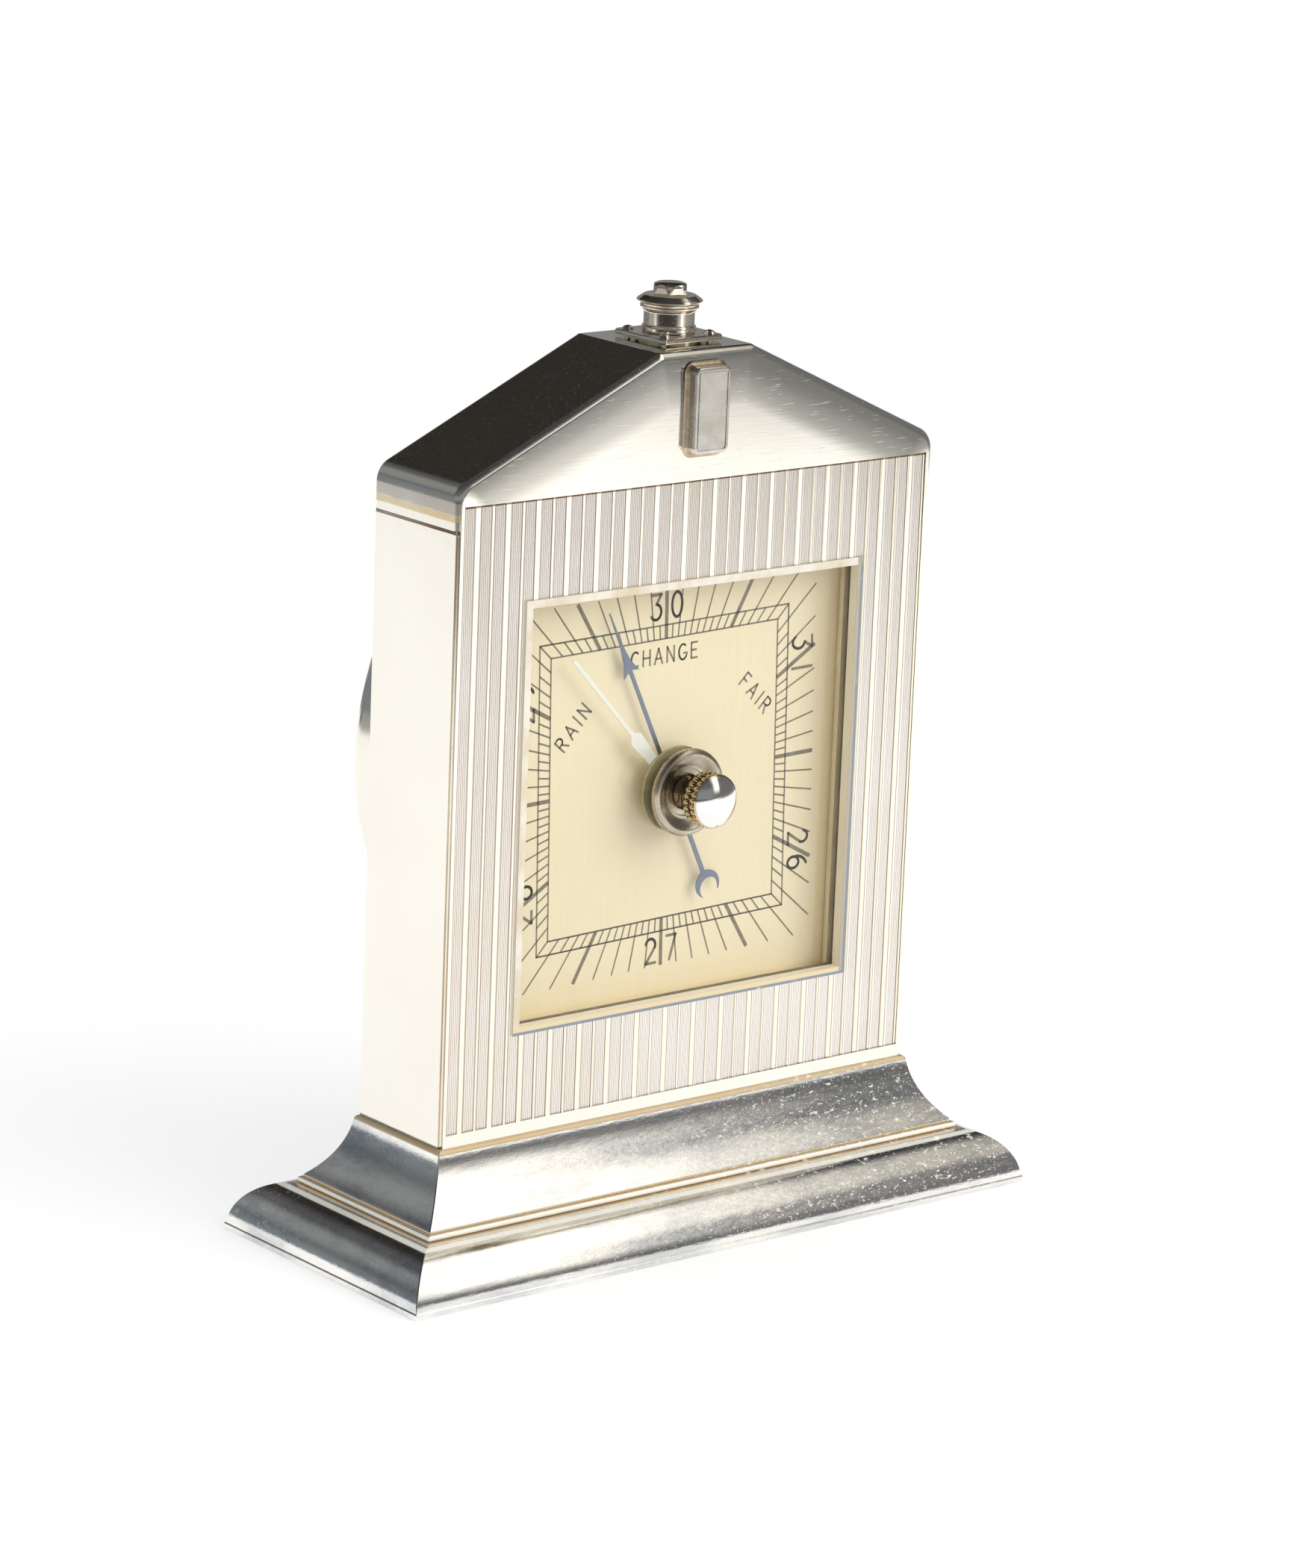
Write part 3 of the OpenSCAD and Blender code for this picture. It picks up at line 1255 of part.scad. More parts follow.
module knob() {
    dome_y = rings_y - 2 * knob_ring_t - knob_groove;
    dome_foot = knob_d / 2 - 0.1;
    dome_r = (dome_foot * dome_foot + knob_dome_h * knob_dome_h) / (2 * knob_dome_h);
    neck_foot = dish_d / 2 - dish_h - 1.3;
    color("silver") {
        to_front(0, knob_seat, window_z) {
            // Hollow-sided neck
            rotate_extrude() polygon(concat([[0, 0], [neck_foot, 0], [neck_foot, 0.2]],
                [for (i = [0:8]) let (s = i / 8)
                    [neck_foot - 0.5 * sin(180 * s) + s * s * (knob_d / 2 - 0.45 - neck_foot),
                        0.2 + (knob_neck_h - 0.2) * s]],
                [[0, knob_neck_h]]));
        }
        to_front(0, rings_y, window_z) knurled_ring();
        to_front(0, rings_y - knob_ring_t, window_z) cylinder(d = knob_d - 0.6, h = knob_groove);
        to_front(0, rings_y - knob_ring_t - knob_groove, window_z) rotate(180 / knurl_count) knurled_ring();
        to_front(0, dome_y, window_z) intersection() {
            cylinder(r = dome_foot, h = knob_dome_h + 1);
            translate([0, 0, knob_dome_h - dome_r]) sphere(r = dome_r);
        }
        // Spindle through the collar, up to the set hand's rivet
        to_front(0, spindle_back, window_z)
            cylinder(d = spindle_d, h = spindle_back - knob_seat + 0.1, $fn = small_fn);
    }
}

module set_hand() {
    hub_r = 1.9;
    loz_y0 = 6.4;
    loz_y1 = 9;
    loz_y2 = 9.8;
    half = set_lozenge_w / 2;
    color("whitesmoke") on_hand(window_z, set_back, set_angle) linear_extrude(set_t) difference() {
        union() {
            circle(r = hub_r, $fn = small_fn);
            translate([-0.7, 0]) square([1.4, loz_y0 + 0.5]);
            // Flat lozenge at the root of the blade
            polygon([[-half * 0.6, loz_y0], [half * 0.6, loz_y0], [half * 0.83, loz_y0 + 0.25],
                [half, loz_y1], [0.28, loz_y2], [-0.28, loz_y2], [-half, loz_y1],
                [-half * 0.83, loz_y0 + 0.25]]);
            // Long blade with a cut tip
            polygon([[-0.28, loz_y2 - 0.1], [0.28, loz_y2 - 0.1], [0.26, set_l - 0.5], [0.1, set_l],
                [-0.26, set_l]]);
        }
        circle(d = spindle_d + 2 * seat_fit, $fn = small_fn);
    }
}

setting_screw_d = 2.6;

// Slotted screw in the movement plate that sets the reading, reached from behind
module setting_screw() {
    color("slateblue") to_front(setting_x, plate_back, setting_z)
        slotted_screw(setting_screw_d, 3.8, 0.8, plate_t - 0.02);
}

base_moulding();
base_board();
board_screws();
case_screws();
case_shell();
front_rails();
grille_panel();
panel_posts();
window_frame();
window_glass();
dial_recess();
dial_plate();
dial_screws();
pediment();
badge_plate();
filler_flange();
flange_screws();
filler_neck();
filler_cap();
filler_hexagon();
filler_stud();
filler_nut();
back_cover();
movement_plate();
movement_pillars();
pillar_screws();
vacuum_capsule();
capsule_nut();
main_spring();
spring_screws();
main_lever();
capsule_post();
rocker_brackets();
bracket_screws();
rocking_shaft();
chain_arm();
pull_chain();
cock_pillars();
rear_cock();
front_cock();
cock_screws();
pointer_arbor();
chain_pulley();
hairspring();
hairspring_stud();
pointer();
dish_collar();
bush_nut();
knob();
set_hand();
setting_screw();
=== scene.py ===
import math

import bpy
import bmesh
from mathutils import Matrix, Vector


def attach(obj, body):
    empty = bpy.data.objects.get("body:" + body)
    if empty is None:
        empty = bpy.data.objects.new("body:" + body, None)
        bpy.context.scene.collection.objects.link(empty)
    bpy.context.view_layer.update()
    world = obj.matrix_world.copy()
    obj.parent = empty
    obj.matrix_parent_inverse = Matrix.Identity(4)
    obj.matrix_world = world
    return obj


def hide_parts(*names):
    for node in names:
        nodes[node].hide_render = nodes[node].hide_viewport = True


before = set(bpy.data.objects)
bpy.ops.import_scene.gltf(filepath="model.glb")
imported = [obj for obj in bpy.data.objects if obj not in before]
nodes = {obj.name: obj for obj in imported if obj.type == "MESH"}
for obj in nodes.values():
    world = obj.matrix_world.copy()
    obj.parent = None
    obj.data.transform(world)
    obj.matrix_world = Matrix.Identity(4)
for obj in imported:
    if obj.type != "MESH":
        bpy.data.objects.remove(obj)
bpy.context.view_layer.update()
mm = 0.001
print("frame loaded:", len(nodes), "nodes")


class Wire:
    # wraps one socket of a node tree, so that values can be written as expressions
    def __init__(self, tree, socket=None):
        self.tree = tree
        self.socket = socket

    def plug(self, target, value):
        if isinstance(value, Wire):
            self.tree.links.new(value.socket, target)
        elif target.type == "RGBA" and len(value) == 3:
            target.default_value = (*value, 1)
        else:
            target.default_value = value

    def add(self, kind, settings=None, inputs=None, out=0):
        made = self.tree.nodes.new("ShaderNode" + kind)
        for key, value in (settings or {}).items():
            setattr(made, key, value)
        for key, value in (inputs or {}).items():
            self.plug(made.inputs[key], value)
        return Wire(self.tree, made.outputs[out])

    def maths(self, operation, *values):
        return self.add("Math", {"operation": operation}, dict(enumerate(values)))

    def __add__(self, other):
        return self.maths("ADD", self, other)

    __radd__ = __add__

    def __mul__(self, other):
        return self.maths("MULTIPLY", self, other)

    __rmul__ = __mul__

    def __sub__(self, other):
        return self.maths("SUBTRACT", self, other)

    def __rsub__(self, other):
        return self.maths("SUBTRACT", other, self)

    def __truediv__(self, other):
        return self.maths("DIVIDE", self, other)

    def size(self):
        return self.maths("ABSOLUTE", self)

    def fraction(self):
        return self.maths("FRACT", self)

    def most(self, other):
        return self.maths("MAXIMUM", self, other)

    def clamped(self):
        return self.maths("MINIMUM", self.most(0.0), 1.0)

    def above(self, low, high):
        # 0 below low, 1 above high, smooth between
        return self.add("MapRange", {"interpolation_type": "SMOOTHSTEP"},
                        {"Value": self, "From Min": low, "From Max": high})

    def within(self, low, high, soft):
        # 1 from low to high, 0 outside
        return self.above(low, low + soft) * (1 - self.above(high, high + soft))

    def mix(self, first, second):
        # first where this wire is 0, second where it is 1
        return self.add("Mix", {"data_type": "RGBA"}, {0: self, 6: first, 7: second}, out=2)

    def mixed(self, first, second):
        # the same for plain numbers
        return first + (second - first) * self

    def axis(self, index):
        return self.add("SeparateXYZ", None, {0: self}, out=index)

    def noise(self, scale, detail=2.0, rough=0.5):
        return self.add("TexNoise", None, {"Vector": self, "Scale": scale, "Detail": detail, "Roughness": rough})

    def grained(self, scale, detail=2.0, rough=0.5, turn=(0, 0, 0)):
        # noise with its own scale along each axis
        turned = {"Vector": self, "Rotation": [math.radians(a) for a in turn], "Scale": scale}
        return self.add("Mapping", None, turned).noise(1.0, detail, rough)


def newFinish(name, **constants):
    # a Principled surface with its plain values on its own sockets, and the place in the frame as a wire
    material = bpy.data.materials.new(name)
    material.use_nodes = True
    surface = material.node_tree.nodes["Principled BSDF"]
    place = Wire(material.node_tree).add("TexCoord", out=3)
    feed(surface, place, **constants)
    return material, place, surface


def feed(surface, wire, **values):
    for key, value in values.items():
        wire.plug(surface.inputs[key.replace("_", " ")], value)


def bumped(surface, height, strength, distance):
    bump = {"Strength": strength, "Distance": distance, "Height": height}
    feed(surface, height, Normal=height.add("Bump", None, bump))


def bareTree(holder):
    # the emptied node tree of a material or world
    holder.use_nodes = True
    holder.node_tree.nodes.clear()
    return Wire(holder.node_tree)


def blended(share, first, second):
    # the first shader where share is 0, the second where it is 1
    return share.add("MixShader", None, {0: share, 1: first, 2: second})


def closeTree(shader, kind="Material"):
    output = shader.tree.nodes.new("ShaderNodeOutput" + kind)
    shader.plug(output.inputs["Surface"], shader)


def plateFinish(name, look):
    # polished silver plate with fine wiping scratches, faint clouds and tinted bands with ragged edges, most of them
    # painted shade and painted reflections
    material, place, surface = newFinish(name)
    clouds = place.noise(look["cloudScale"], 3.0, 0.6)
    first, second = (place.grained((along, across, across), 1.0, turn=turn).above(share, share + 0.05)
                     for turn, along, across, share in look["scratches"])
    fine = first.most(second)
    swirl = place.grained(look["swirlScale"], turn=look["swirlTurn"])
    tint = clouds.above(*look["cloudAt"]).mix(look["tint"], look["warmTint"])
    tint = (fine * 0.5).mix(tint, look["scratchTint"])
    rough = clouds * look["cloudRough"] + fine * 0.08 + look["rough"]
    ragged = (place.grained(look["raggedScale"], 3.0, 0.7) - 0.5) * look["ragged"] * mm
    wide = place.axis(0).size()
    # each band tints one strip; the looks use them for painted shadow under the skirt, painted shade in the front
    # corner grooves, painted reflections on the skirt and a dark line where the case meets the base
    for axis, low, high, inner, outer, soft, shade in look.get("bands", ()):
        spot = place.axis(axis) + ragged * soft
        line = spot.above((low - soft) * mm, low * mm) * (1 - spot.above(high * mm, (high + soft) * mm))
        line = line * wide.above((inner - 0.1) * mm, inner * mm)
        line = line * (1 - wide.above(outer * mm, (outer + 0.05) * mm))
        line = line * clouds.above(0.35, 0.6).mixed(0.7, 1.0)
        tint = line.mix(tint, shade)
        rough = rough + line * look["bandRough"]
    feed(surface, place, Base_Color=tint, Metallic=1 - fine * 0.12, Roughness=rough)
    bumped(surface, fine * -0.6 + swirl * 0.5, look["bump"], 0.00002)
    return material


def wornFinish(name, look):
    # silver plate polished for decades: swirls, a slate haze, pale dashes, brown lines at the lip and cove foot, a
    # painted shadow under the bead and painted highlights on and below it
    material, place, surface = newFinish(name)
    clouds = place.grained(look["cloudScale"], 4.0, 0.6)
    reachX = place.axis(0).size() - look["half"][0]
    reachY = place.axis(1).size() - look["half"][1]
    ends = (reachX - reachY).above(-0.05 * mm, 0.05 * mm)  # 1 on the short sides, which mitre into the long ones
    swirls = ends.mixed(place.grained(look["swirlScale"], 3.0, 0.7),
                        place.grained(look["endSwirlScale"], 3.0, 0.7, look["endSwirlTurn"]))
    dashes = place.grained(look["dashScale"], 3.0, 0.65, look["dashTurn"])
    patchy = place.noise(look["patchScale"], 2.0).above(0.42, 0.6)
    spots = dashes.above(*look["dashAt"]) * patchy
    pin = place.noise(look["pinScale"], 1.0).above(0.64, 0.70) * (0.35 + patchy * 0.65)
    pale = ((spots + pin * 0.45) * ends.mixed(1.0, 0.35)).clamped()
    height = place.axis(2)
    # first a brown line along the lip and the cove foot, and under the bead a painted shadow of the same brown; then
    # painted highlights on the bead and just below it
    gold, bright = (sum((height.within(low * mm, high * mm, 0.1 * mm) for low, high in spans), 0.0).clamped()
                    for spans in (look["goldAt"], look["paintedHighlightAt"]))
    haze = (clouds * 0.75 + swirls * 0.25).above(0.36, 0.6).mix(look["haze"], look["hazeLight"])
    haze = (gold * (0.35 + clouds * 1.1)).clamped().mix(haze, look["gold"])
    # painted highlights, in the pale tint of the worn spots
    haze = (bright * 0.8).mix(haze, look["paleSpotAndHighlightTint"])
    feed(surface, place, Base_Color=(pale * look["spotShare"]).mix(haze, look["paleSpotAndHighlightTint"]),
         Metallic=1 - (bright * 0.6 + pale * 0.4 + gold * 0.35).clamped(),
         Roughness=swirls * 0.08 + pale * 0.35 + gold * 0.25 + bright * 0.3 + look["rough"])
    bumped(surface, swirls * 0.6 + clouds * 0.8, look["bump"], 0.00005)
    return material


def satinFinish(name, look):
    # small turned or stamped metal with a fine grain and a little wear; zones along the depth add painted shade on the
    # knob's neck and in the recess, and a golden brown on the knob's bead rings
    material, place, surface = newFinish(name, Metallic=look.get("metallic", 1.0))
    grain = place.grained(look.get("grainScale", (9000, 900, 9000)))
    clouds = place.noise(look.get("cloudScale", 260), 3.0, 0.6)
    tint = clouds.above(0.3, 0.72).mix(look["tint"], look["warmTint"])
    # spans of depth tinted darker: painted shade, except the knob's bead rings
    for low, high, shade in look.get("zones", ()):
        depth = place.axis(1) + clouds * 0.12 * mm
        tint = depth.within(low * mm, high * mm, 0.1 * mm).mix(tint, shade)
    tint = (grain.above(0.45, 0.75) * 0.3).mix(tint, look["grainTint"])
    feed(surface, place, Base_Color=tint,
         Roughness=grain * 0.12 + clouds * look.get("cloudRough", 0.06) + look["rough"])
    bumped(surface, grain, look.get("bump", 0.12), 0.00002)
    return material


polishLook = dict(tint=(0.955, 0.925, 0.845), warmTint=(0.93, 0.89, 0.80), scratchTint=(0.97, 0.96, 0.92),
                  scratches=(((0, 28, 12), 260, 8000, 0.70), ((10, -38, 70), 240, 7000, 0.72)),
                  swirlScale=(90, 4200, 2600), swirlTurn=(15, 65, 40), cloudScale=38, cloudAt=(0.35, 0.7), rough=0.08,
                  cloudRough=0.06, bump=0.12, ragged=1.6, raggedScale=(900, 300, 900), bandRough=0.12)
wornLook = dict(half=(35.0 * mm, 7.8 * mm), haze=(0.66, 0.67, 0.68), hazeLight=(0.97, 0.95, 0.91),
                paleSpotAndHighlightTint=(0.99, 0.96, 0.86), spotShare=0.8, rough=0.08, bump=0.30, gold=(0.74, 0.57, 0.34),
                cloudScale=(55, 90, 260), swirlScale=(500, 700, 2600), endSwirlScale=(2600, 1300, 1900),
                endSwirlTurn=(0, 35, -15), dashScale=(1150, 1300, 2700), dashTurn=(0, 12, 0), dashAt=(0.595, 0.67),
                patchScale=38, pinScale=3600,
                # spans of height: a brown under the bead as painted shadow, at the cove foot and at the lip; then
                # painted highlights on the bead and just below it
                goldAt=((6.2, 6.4), (7.0, 7.3), (14.5, 15.3)), paintedHighlightAt=((5.92, 6.14), (6.45, 6.95)))
nickelLook = dict(tint=(0.60, 0.55, 0.45), warmTint=(0.44, 0.38, 0.28), grainTint=(0.74, 0.70, 0.60), rough=0.16,
                  cloudRough=0.12, bump=0.04, cloudScale=420)
nutLook = dict(tint=(0.52, 0.47, 0.31), warmTint=(0.42, 0.37, 0.23), grainTint=(0.62, 0.57, 0.40), rough=0.35,
               metallic=0.25, cloudScale=500)
knobLook = dict(tint=(0.93, 0.92, 0.91), warmTint=(0.90, 0.88, 0.86), grainTint=(0.97, 0.96, 0.95), rough=0.02,
                cloudRough=0.05, bump=0.04, cloudScale=600,
                # zones along the depth: a golden brown on the bead rings, and painted shade in dark brown on the neck
                # and spindle, which sit in the collar's well under the rings
                zones=((-12.5, -10.1, (0.60, 0.48, 0.31)), (-10.1, -4.0, (0.26, 0.19, 0.12))))
brassLook = dict(tint=(0.80, 0.62, 0.33), warmTint=(0.70, 0.52, 0.26), grainTint=(0.88, 0.72, 0.42), rough=0.18,
                 cloudRough=0.16)
giltLook = dict(tint=(0.72, 0.58, 0.36), warmTint=(0.62, 0.48, 0.28), grainTint=(0.82, 0.70, 0.48), rough=0.22)
steelLook = dict(tint=(0.70, 0.70, 0.70), warmTint=(0.60, 0.60, 0.60), grainTint=(0.82, 0.82, 0.82), rough=0.16)
blueLook = dict(tint=(0.222, 0.262, 0.385), warmTint=(0.20, 0.235, 0.36), grainTint=(0.27, 0.31, 0.43),
                rough=0.22, cloudScale=900)
screwLook = dict(tint=(0.10, 0.13, 0.26), warmTint=(0.08, 0.10, 0.22), grainTint=(0.16, 0.20, 0.36), rough=0.25)
handLook = dict(tint=(0.96, 0.96, 0.93), warmTint=(0.93, 0.93, 0.88), grainTint=(0.98, 0.98, 0.96), rough=0.30,
                metallic=0.25)
capsuleLook = dict(tint=(0.72, 0.66, 0.52), warmTint=(0.62, 0.55, 0.42), grainTint=(0.82, 0.77, 0.64), rough=0.24)
recessLook = dict(tint=(0.93, 0.85, 0.68), warmTint=(0.86, 0.77, 0.58), grainTint=(0.97, 0.91, 0.76), rough=0.42,
                  grainScale=(300, 9000, 300), cloudScale=120, metallic=0.0,
                  # zones along the depth: painted shade in the corner against the dial and along the front edge under
                  # the window lip
                  zones=((-2.9, -2.8, (0.55, 0.45, 0.31)), (-5.6, -5.42, (0.60, 0.50, 0.36))))

# bands: axis, low and high, inner and outer distance from the middle, softness and tint, in millimetres
brown = (0.16, 0.115, 0.08)
# painted shadow under the pediment's skirt, painted shade in the groove at the front corners, and a dark brown line
# where the case meets the base
caseLook = dict(polishLook, bands=(
    (2, 86.8, 87.4, 0, 99, 0.05, brown), (1, -7.52, -7.34, 34.8, 99, 0.03, (0.46, 0.37, 0.28)),
    (2, 15.0, 15.3, 0, 99, 0.1, brown)))
# painted reflections on the sides of the skirt: a golden band low down and a grey band above it
pedimentLook = dict(polishLook, bands=(
    (2, 88.3, 88.95, 34.6, 99, 0.14, (0.82, 0.67, 0.42)), (2, 89.2, 90.5, 34.6, 99, 0.32, (0.58, 0.54, 0.48))))
fillerLook = dict(polishLook, tint=(0.90, 0.84, 0.74), warmTint=(0.76, 0.66, 0.52), cloudScale=420, rough=0.05,
                  cloudRough=0.08)
polishedSilver = plateFinish("polishedSilver", polishLook)
caseSilver = plateFinish("caseSilver", caseLook)
pedimentSilver = plateFinish("pedimentSilver", pedimentLook)
fillerSilver = plateFinish("fillerSilver", fillerLook)
wornSilver = wornFinish("wornSilver", wornLook)
nickel = satinFinish("nickel", nickelLook)
knobNickel = satinFinish("knobNickel", knobLook)
nutBrass = satinFinish("nutBrass", nutLook)
movementBrass = satinFinish("movementBrass", brassLook)
giltBrass = satinFinish("giltBrass", giltLook)
steel = satinFinish("steel", steelLook)
bluedSteel = satinFinish("bluedSteel", blueLook)
bluedScrew = satinFinish("bluedScrew", screwLook)
handSilver = satinFinish("handSilver", handLook)
capsuleMetal = satinFinish("capsuleMetal", capsuleLook)
recessMetal = satinFinish("recessMetal", recessLook)

grilleLook = dict(face=-7.64 * mm, left=-34.15 * mm, pitch=4.27 * mm, bandShare=0.369, wideShare=0.18,
                  narrowShare=0.082, bandTint=(1.0, 0.97, 0.93), bandWarm=(0.97, 0.92, 0.85),
                  grooveTint=(0.56, 0.46, 0.37), flatTint=(0.96, 0.91, 0.78), edgeShare=0.034,
                  edgeTint=(0.30, 0.21, 0.14), edgeDark=0.85, top=89.72 * mm, cloudScale=60,
                  grainScale=(4200, 4200, 60))


def grilleFinish(look):
    # bright flats between bands of fine grooves, whose floors hold a brown tarnish, with a painted shadow along the top
    # under the pediment
    material, place, surface = newFinish("grilleSilver", Metallic=1.0)
    turn = ((place.axis(0) - look["left"]) / look["pitch"]).fraction()
    wideEnd, narrowStart = look["bandShare"] + look["wideShare"], 1 - look["narrowShare"]
    wide = turn.above(look["bandShare"], look["bandShare"] + 0.01) - turn.above(wideEnd - 0.01, wideEnd)
    flats = (wide + turn.above(narrowStart, narrowStart + 0.01)).clamped()
    deep = place.axis(1).above(look["face"] + 0.05 * mm, look["face"] + 0.11 * mm)
    clouds = place.noise(look["cloudScale"], 3.0, 0.6)
    band = clouds.above(0.3, 0.7).mix(look["bandTint"], look["bandWarm"])
    tint = flats.mix(deep.mix(band, look["grooveTint"]), look["flatTint"])
    half = look["edgeShare"] / 2
    for spot in (0.006, look["bandShare"], wideEnd, narrowStart):
        edge = turn.above(spot - half, spot - half * 0.4) * (1 - turn.above(spot + half * 0.4, spot + half))
        tint = (edge * look["edgeDark"]).mix(tint, look["edgeTint"])
    # painted shadow along the top edge, under the pediment
    tint = place.axis(2).above(look["top"] - 0.06 * mm, look["top"]).mix(tint, look["edgeTint"])
    feed(surface, place, Base_Color=tint, Roughness=0.30 - flats * 0.24 + clouds * 0.05)
    bumped(surface, place.grained(look["grainScale"]), 0.08, 0.00002)
    return material


dialLook = dict(tint=(0.93, 0.83, 0.63), warmTint=(0.90, 0.80, 0.59), grainTint=(0.95, 0.87, 0.69),
                grainScale=(5200, 200, 160), cloudScale=42, bump=0.012)


def dialFinish(look):
    # champagne enamel over a grained plate
    material, place, surface = newFinish("dialChampagne", Metallic=0.0, Specular_IOR_Level=0.35)
    grain = place.grained(look["grainScale"], 3.0, 0.6)
    tint = place.noise(look["cloudScale"], 3.0, 0.55).above(0.3, 0.7).mix(look["tint"], look["warmTint"])
    feed(surface, place, Base_Color=(grain.above(0.35, 0.75) * 0.45).mix(tint, look["grainTint"]),
         Roughness=grain * 0.15 + 0.36)
    bumped(surface, grain, look["bump"], 0.00001)
    return material


inkLook = dict(tint=(0.185, 0.155, 0.115), thinTint=(0.26, 0.22, 0.165), patchScale=900)


def inkFinish(look):
    # dark brown-grey print, a little thin in places
    material, place, surface = newFinish("dialInk", Metallic=0.0)
    patchy = place.noise(look["patchScale"], 3.0, 0.6)
    feed(surface, place, Base_Color=patchy.above(0.4, 0.75).mix(look["tint"], look["thinTint"]),
         Roughness=patchy * 0.2 + 0.4)
    bumped(surface, patchy, 0.1, 0.00001)
    return material


woodLook = dict(tint=(0.075, 0.033, 0.017), ringTint=(0.17, 0.083, 0.042), poreTint=(0.035, 0.017, 0.01),
                ringScale=(26, 260, 260), poreScale=(200, 4000, 4000), bump=0.3)


def woodFinish(look):
    # dark stained board under the base
    material, place, surface = newFinish("stainedWood", Metallic=0.0, Coat_Weight=0.15)
    rings = place.grained(look["ringScale"], 4.0, 0.6)
    pores = place.grained(look["poreScale"])
    tint = rings.above(0.35, 0.68).mix(look["tint"], look["ringTint"])
    feed(surface, place, Base_Color=(pores.above(0.5, 0.7) * 0.5).mix(tint, look["poreTint"]),
         Roughness=pores * 0.25 + 0.4)
    bumped(surface, pores * -1.0 + rings * 0.4, look["bump"], 0.00005)
    return material


glassLook = dict(tint=(0.985, 0.985, 0.965), rough=0.02, ior=1.35, shine=0.55, dust=0.03)


def glassFinish(look):
    # thin clear glass: see-through with a faint reflection and a trace of dust
    material = bpy.data.materials.new("clearGlass")
    wire = bareTree(material)
    dust = wire.add("TexCoord", out=3).noise(150, 5.0, 0.7).above(0.55, 0.8) * look["dust"]
    facing = wire.add("Fresnel", None, {"IOR": look["ior"]})
    clear = wire.add("BsdfTransparent", None, {"Color": look["tint"]})
    shine = wire.add("BsdfGlossy", None, {"Color": (1, 1, 1), "Roughness": look["rough"]})
    closeTree(blended(facing * look["shine"] + dust, clear, shine))
    return material


frameLook = dict(low=27.5 * mm, right=24.6 * mm, lipBack=-7.88 * mm, lipTint=(0.86, 0.82, 0.74),
                 lipWarm=(0.74, 0.64, 0.47), nearTint=(0.80, 0.68, 0.45), rightTint=(0.50, 0.44, 0.35),
                 wornTint=(0.30, 0.33, 0.37), sleeveTint=(0.86, 0.78, 0.62), sleeveWarm=(0.94, 0.86, 0.68))


def frameFinish(look):
    # silvered lip, grey where it is worn below and at the right, and a brown sleeve inside
    material, place, surface = newFinish("frameSilver")
    clouds = place.noise(220, 3.0, 0.6)
    low, right = place.axis(2), place.axis(0)
    worn = (1 - low.above(look["low"] - 0.1 * mm, look["low"])) + right.above(look["right"], look["right"] + 0.1 * mm)
    lip = clouds.above(0.3, 0.7).mix(look["lipTint"], look["lipWarm"])
    lip = low.above(look["low"] + 0.5 * mm, look["low"] + 0.6 * mm).mix(look["nearTint"], lip)
    lip = right.above(look["right"] - 0.5 * mm, look["right"] - 0.4 * mm).mix(lip, look["rightTint"])
    lip = (worn.clamped() * clouds.above(0.25, 0.4)).mix(lip, look["wornTint"])
    inside = place.axis(1).above(look["lipBack"] - 0.04 * mm, look["lipBack"])
    feed(surface, place, Base_Color=inside.mix(lip, clouds.mix(look["sleeveTint"], look["sleeveWarm"])),
         Metallic=inside.mixed(1.0, 0.3), Roughness=clouds * 0.1 + inside.mixed(0.16, 0.45))
    bumped(surface, clouds, 0.1, 0.00002)
    return material


frameSilver = frameFinish(frameLook)
grilleSilver = grilleFinish(grilleLook)
dialChampagne = dialFinish(dialLook)
dialInk = inkFinish(inkLook)
stainedWood = woodFinish(woodLook)
clearGlass = glassFinish(glassLook)
print("finishes made")


def meshOf(name, vertices, faces, merged=False):
    # plain coordinates in millimetres made into a mesh whose faces look outwards
    shape = bpy.data.meshes.new(name)
    shape.from_pydata([Vector(v) * mm for v in vertices], [], faces)
    welded = bmesh.new()
    welded.from_mesh(shape)
    if merged:
        bmesh.ops.remove_doubles(welded, verts=welded.verts, dist=1e-7)
    bmesh.ops.recalc_face_normals(welded, faces=welded.faces)
    welded.to_mesh(shape)
    welded.free()
    return shape


def inScene(name, data):
    made = bpy.data.objects.new(name, data)
    bpy.context.scene.collection.objects.link(made)
    return made


def placed(name, shape, finish, body, replaced=(), crease=35.0):
    # one piece of the object, on its body
    shape.shade_smooth()
    shape.set_sharp_from_angle(angle=math.radians(crease))
    shape.materials.clear()
    shape.materials.append(finish)
    made = inScene(name, shape)
    even = made.modifiers.new("even", "WEIGHTED_NORMAL")  # flat faces stay flat beside their rounded edges
    even.keep_sharp = True
    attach(made, body)
    if replaced:
        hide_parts(*replaced)
    return made


def piece(name, vertices, faces, finish, body, replaced=(), crease=35.0, slot=None):
    return placed(name, meshOf(name, vertices, faces, True), finish, body, replaced, crease)


def skinOf(rings, capStart=True, capEnd=True):
    # quads between closed rings of equal length
    vertices, faces = [], []
    count = len(rings[0])
    for ring in rings:
        vertices.extend(ring)
    for row in range(len(rings) - 1):
        for k in range(count):
            a, b = row * count + k, row * count + (k + 1) % count
            faces.append((a, b, b + count, a + count))
    if capStart:
        faces.append(tuple(range(count - 1, -1, -1)))
    if capEnd:
        faces.append(tuple(range((len(rings) - 1) * count, len(rings) * count)))
    return vertices, faces


def openSkin(rings):
    return skinOf(rings, False, False)


def towardsFront(centre):
    # turned work: radius and height out of the dial
    return lambda r, a, h: (centre[0] + r * math.cos(a), centre[1] - h, centre[2] + r * math.sin(a))


def upwards(centre):
    return lambda r, a, h: (centre[0] + r * math.cos(a), centre[1] + r * math.sin(a), centre[2] + h)


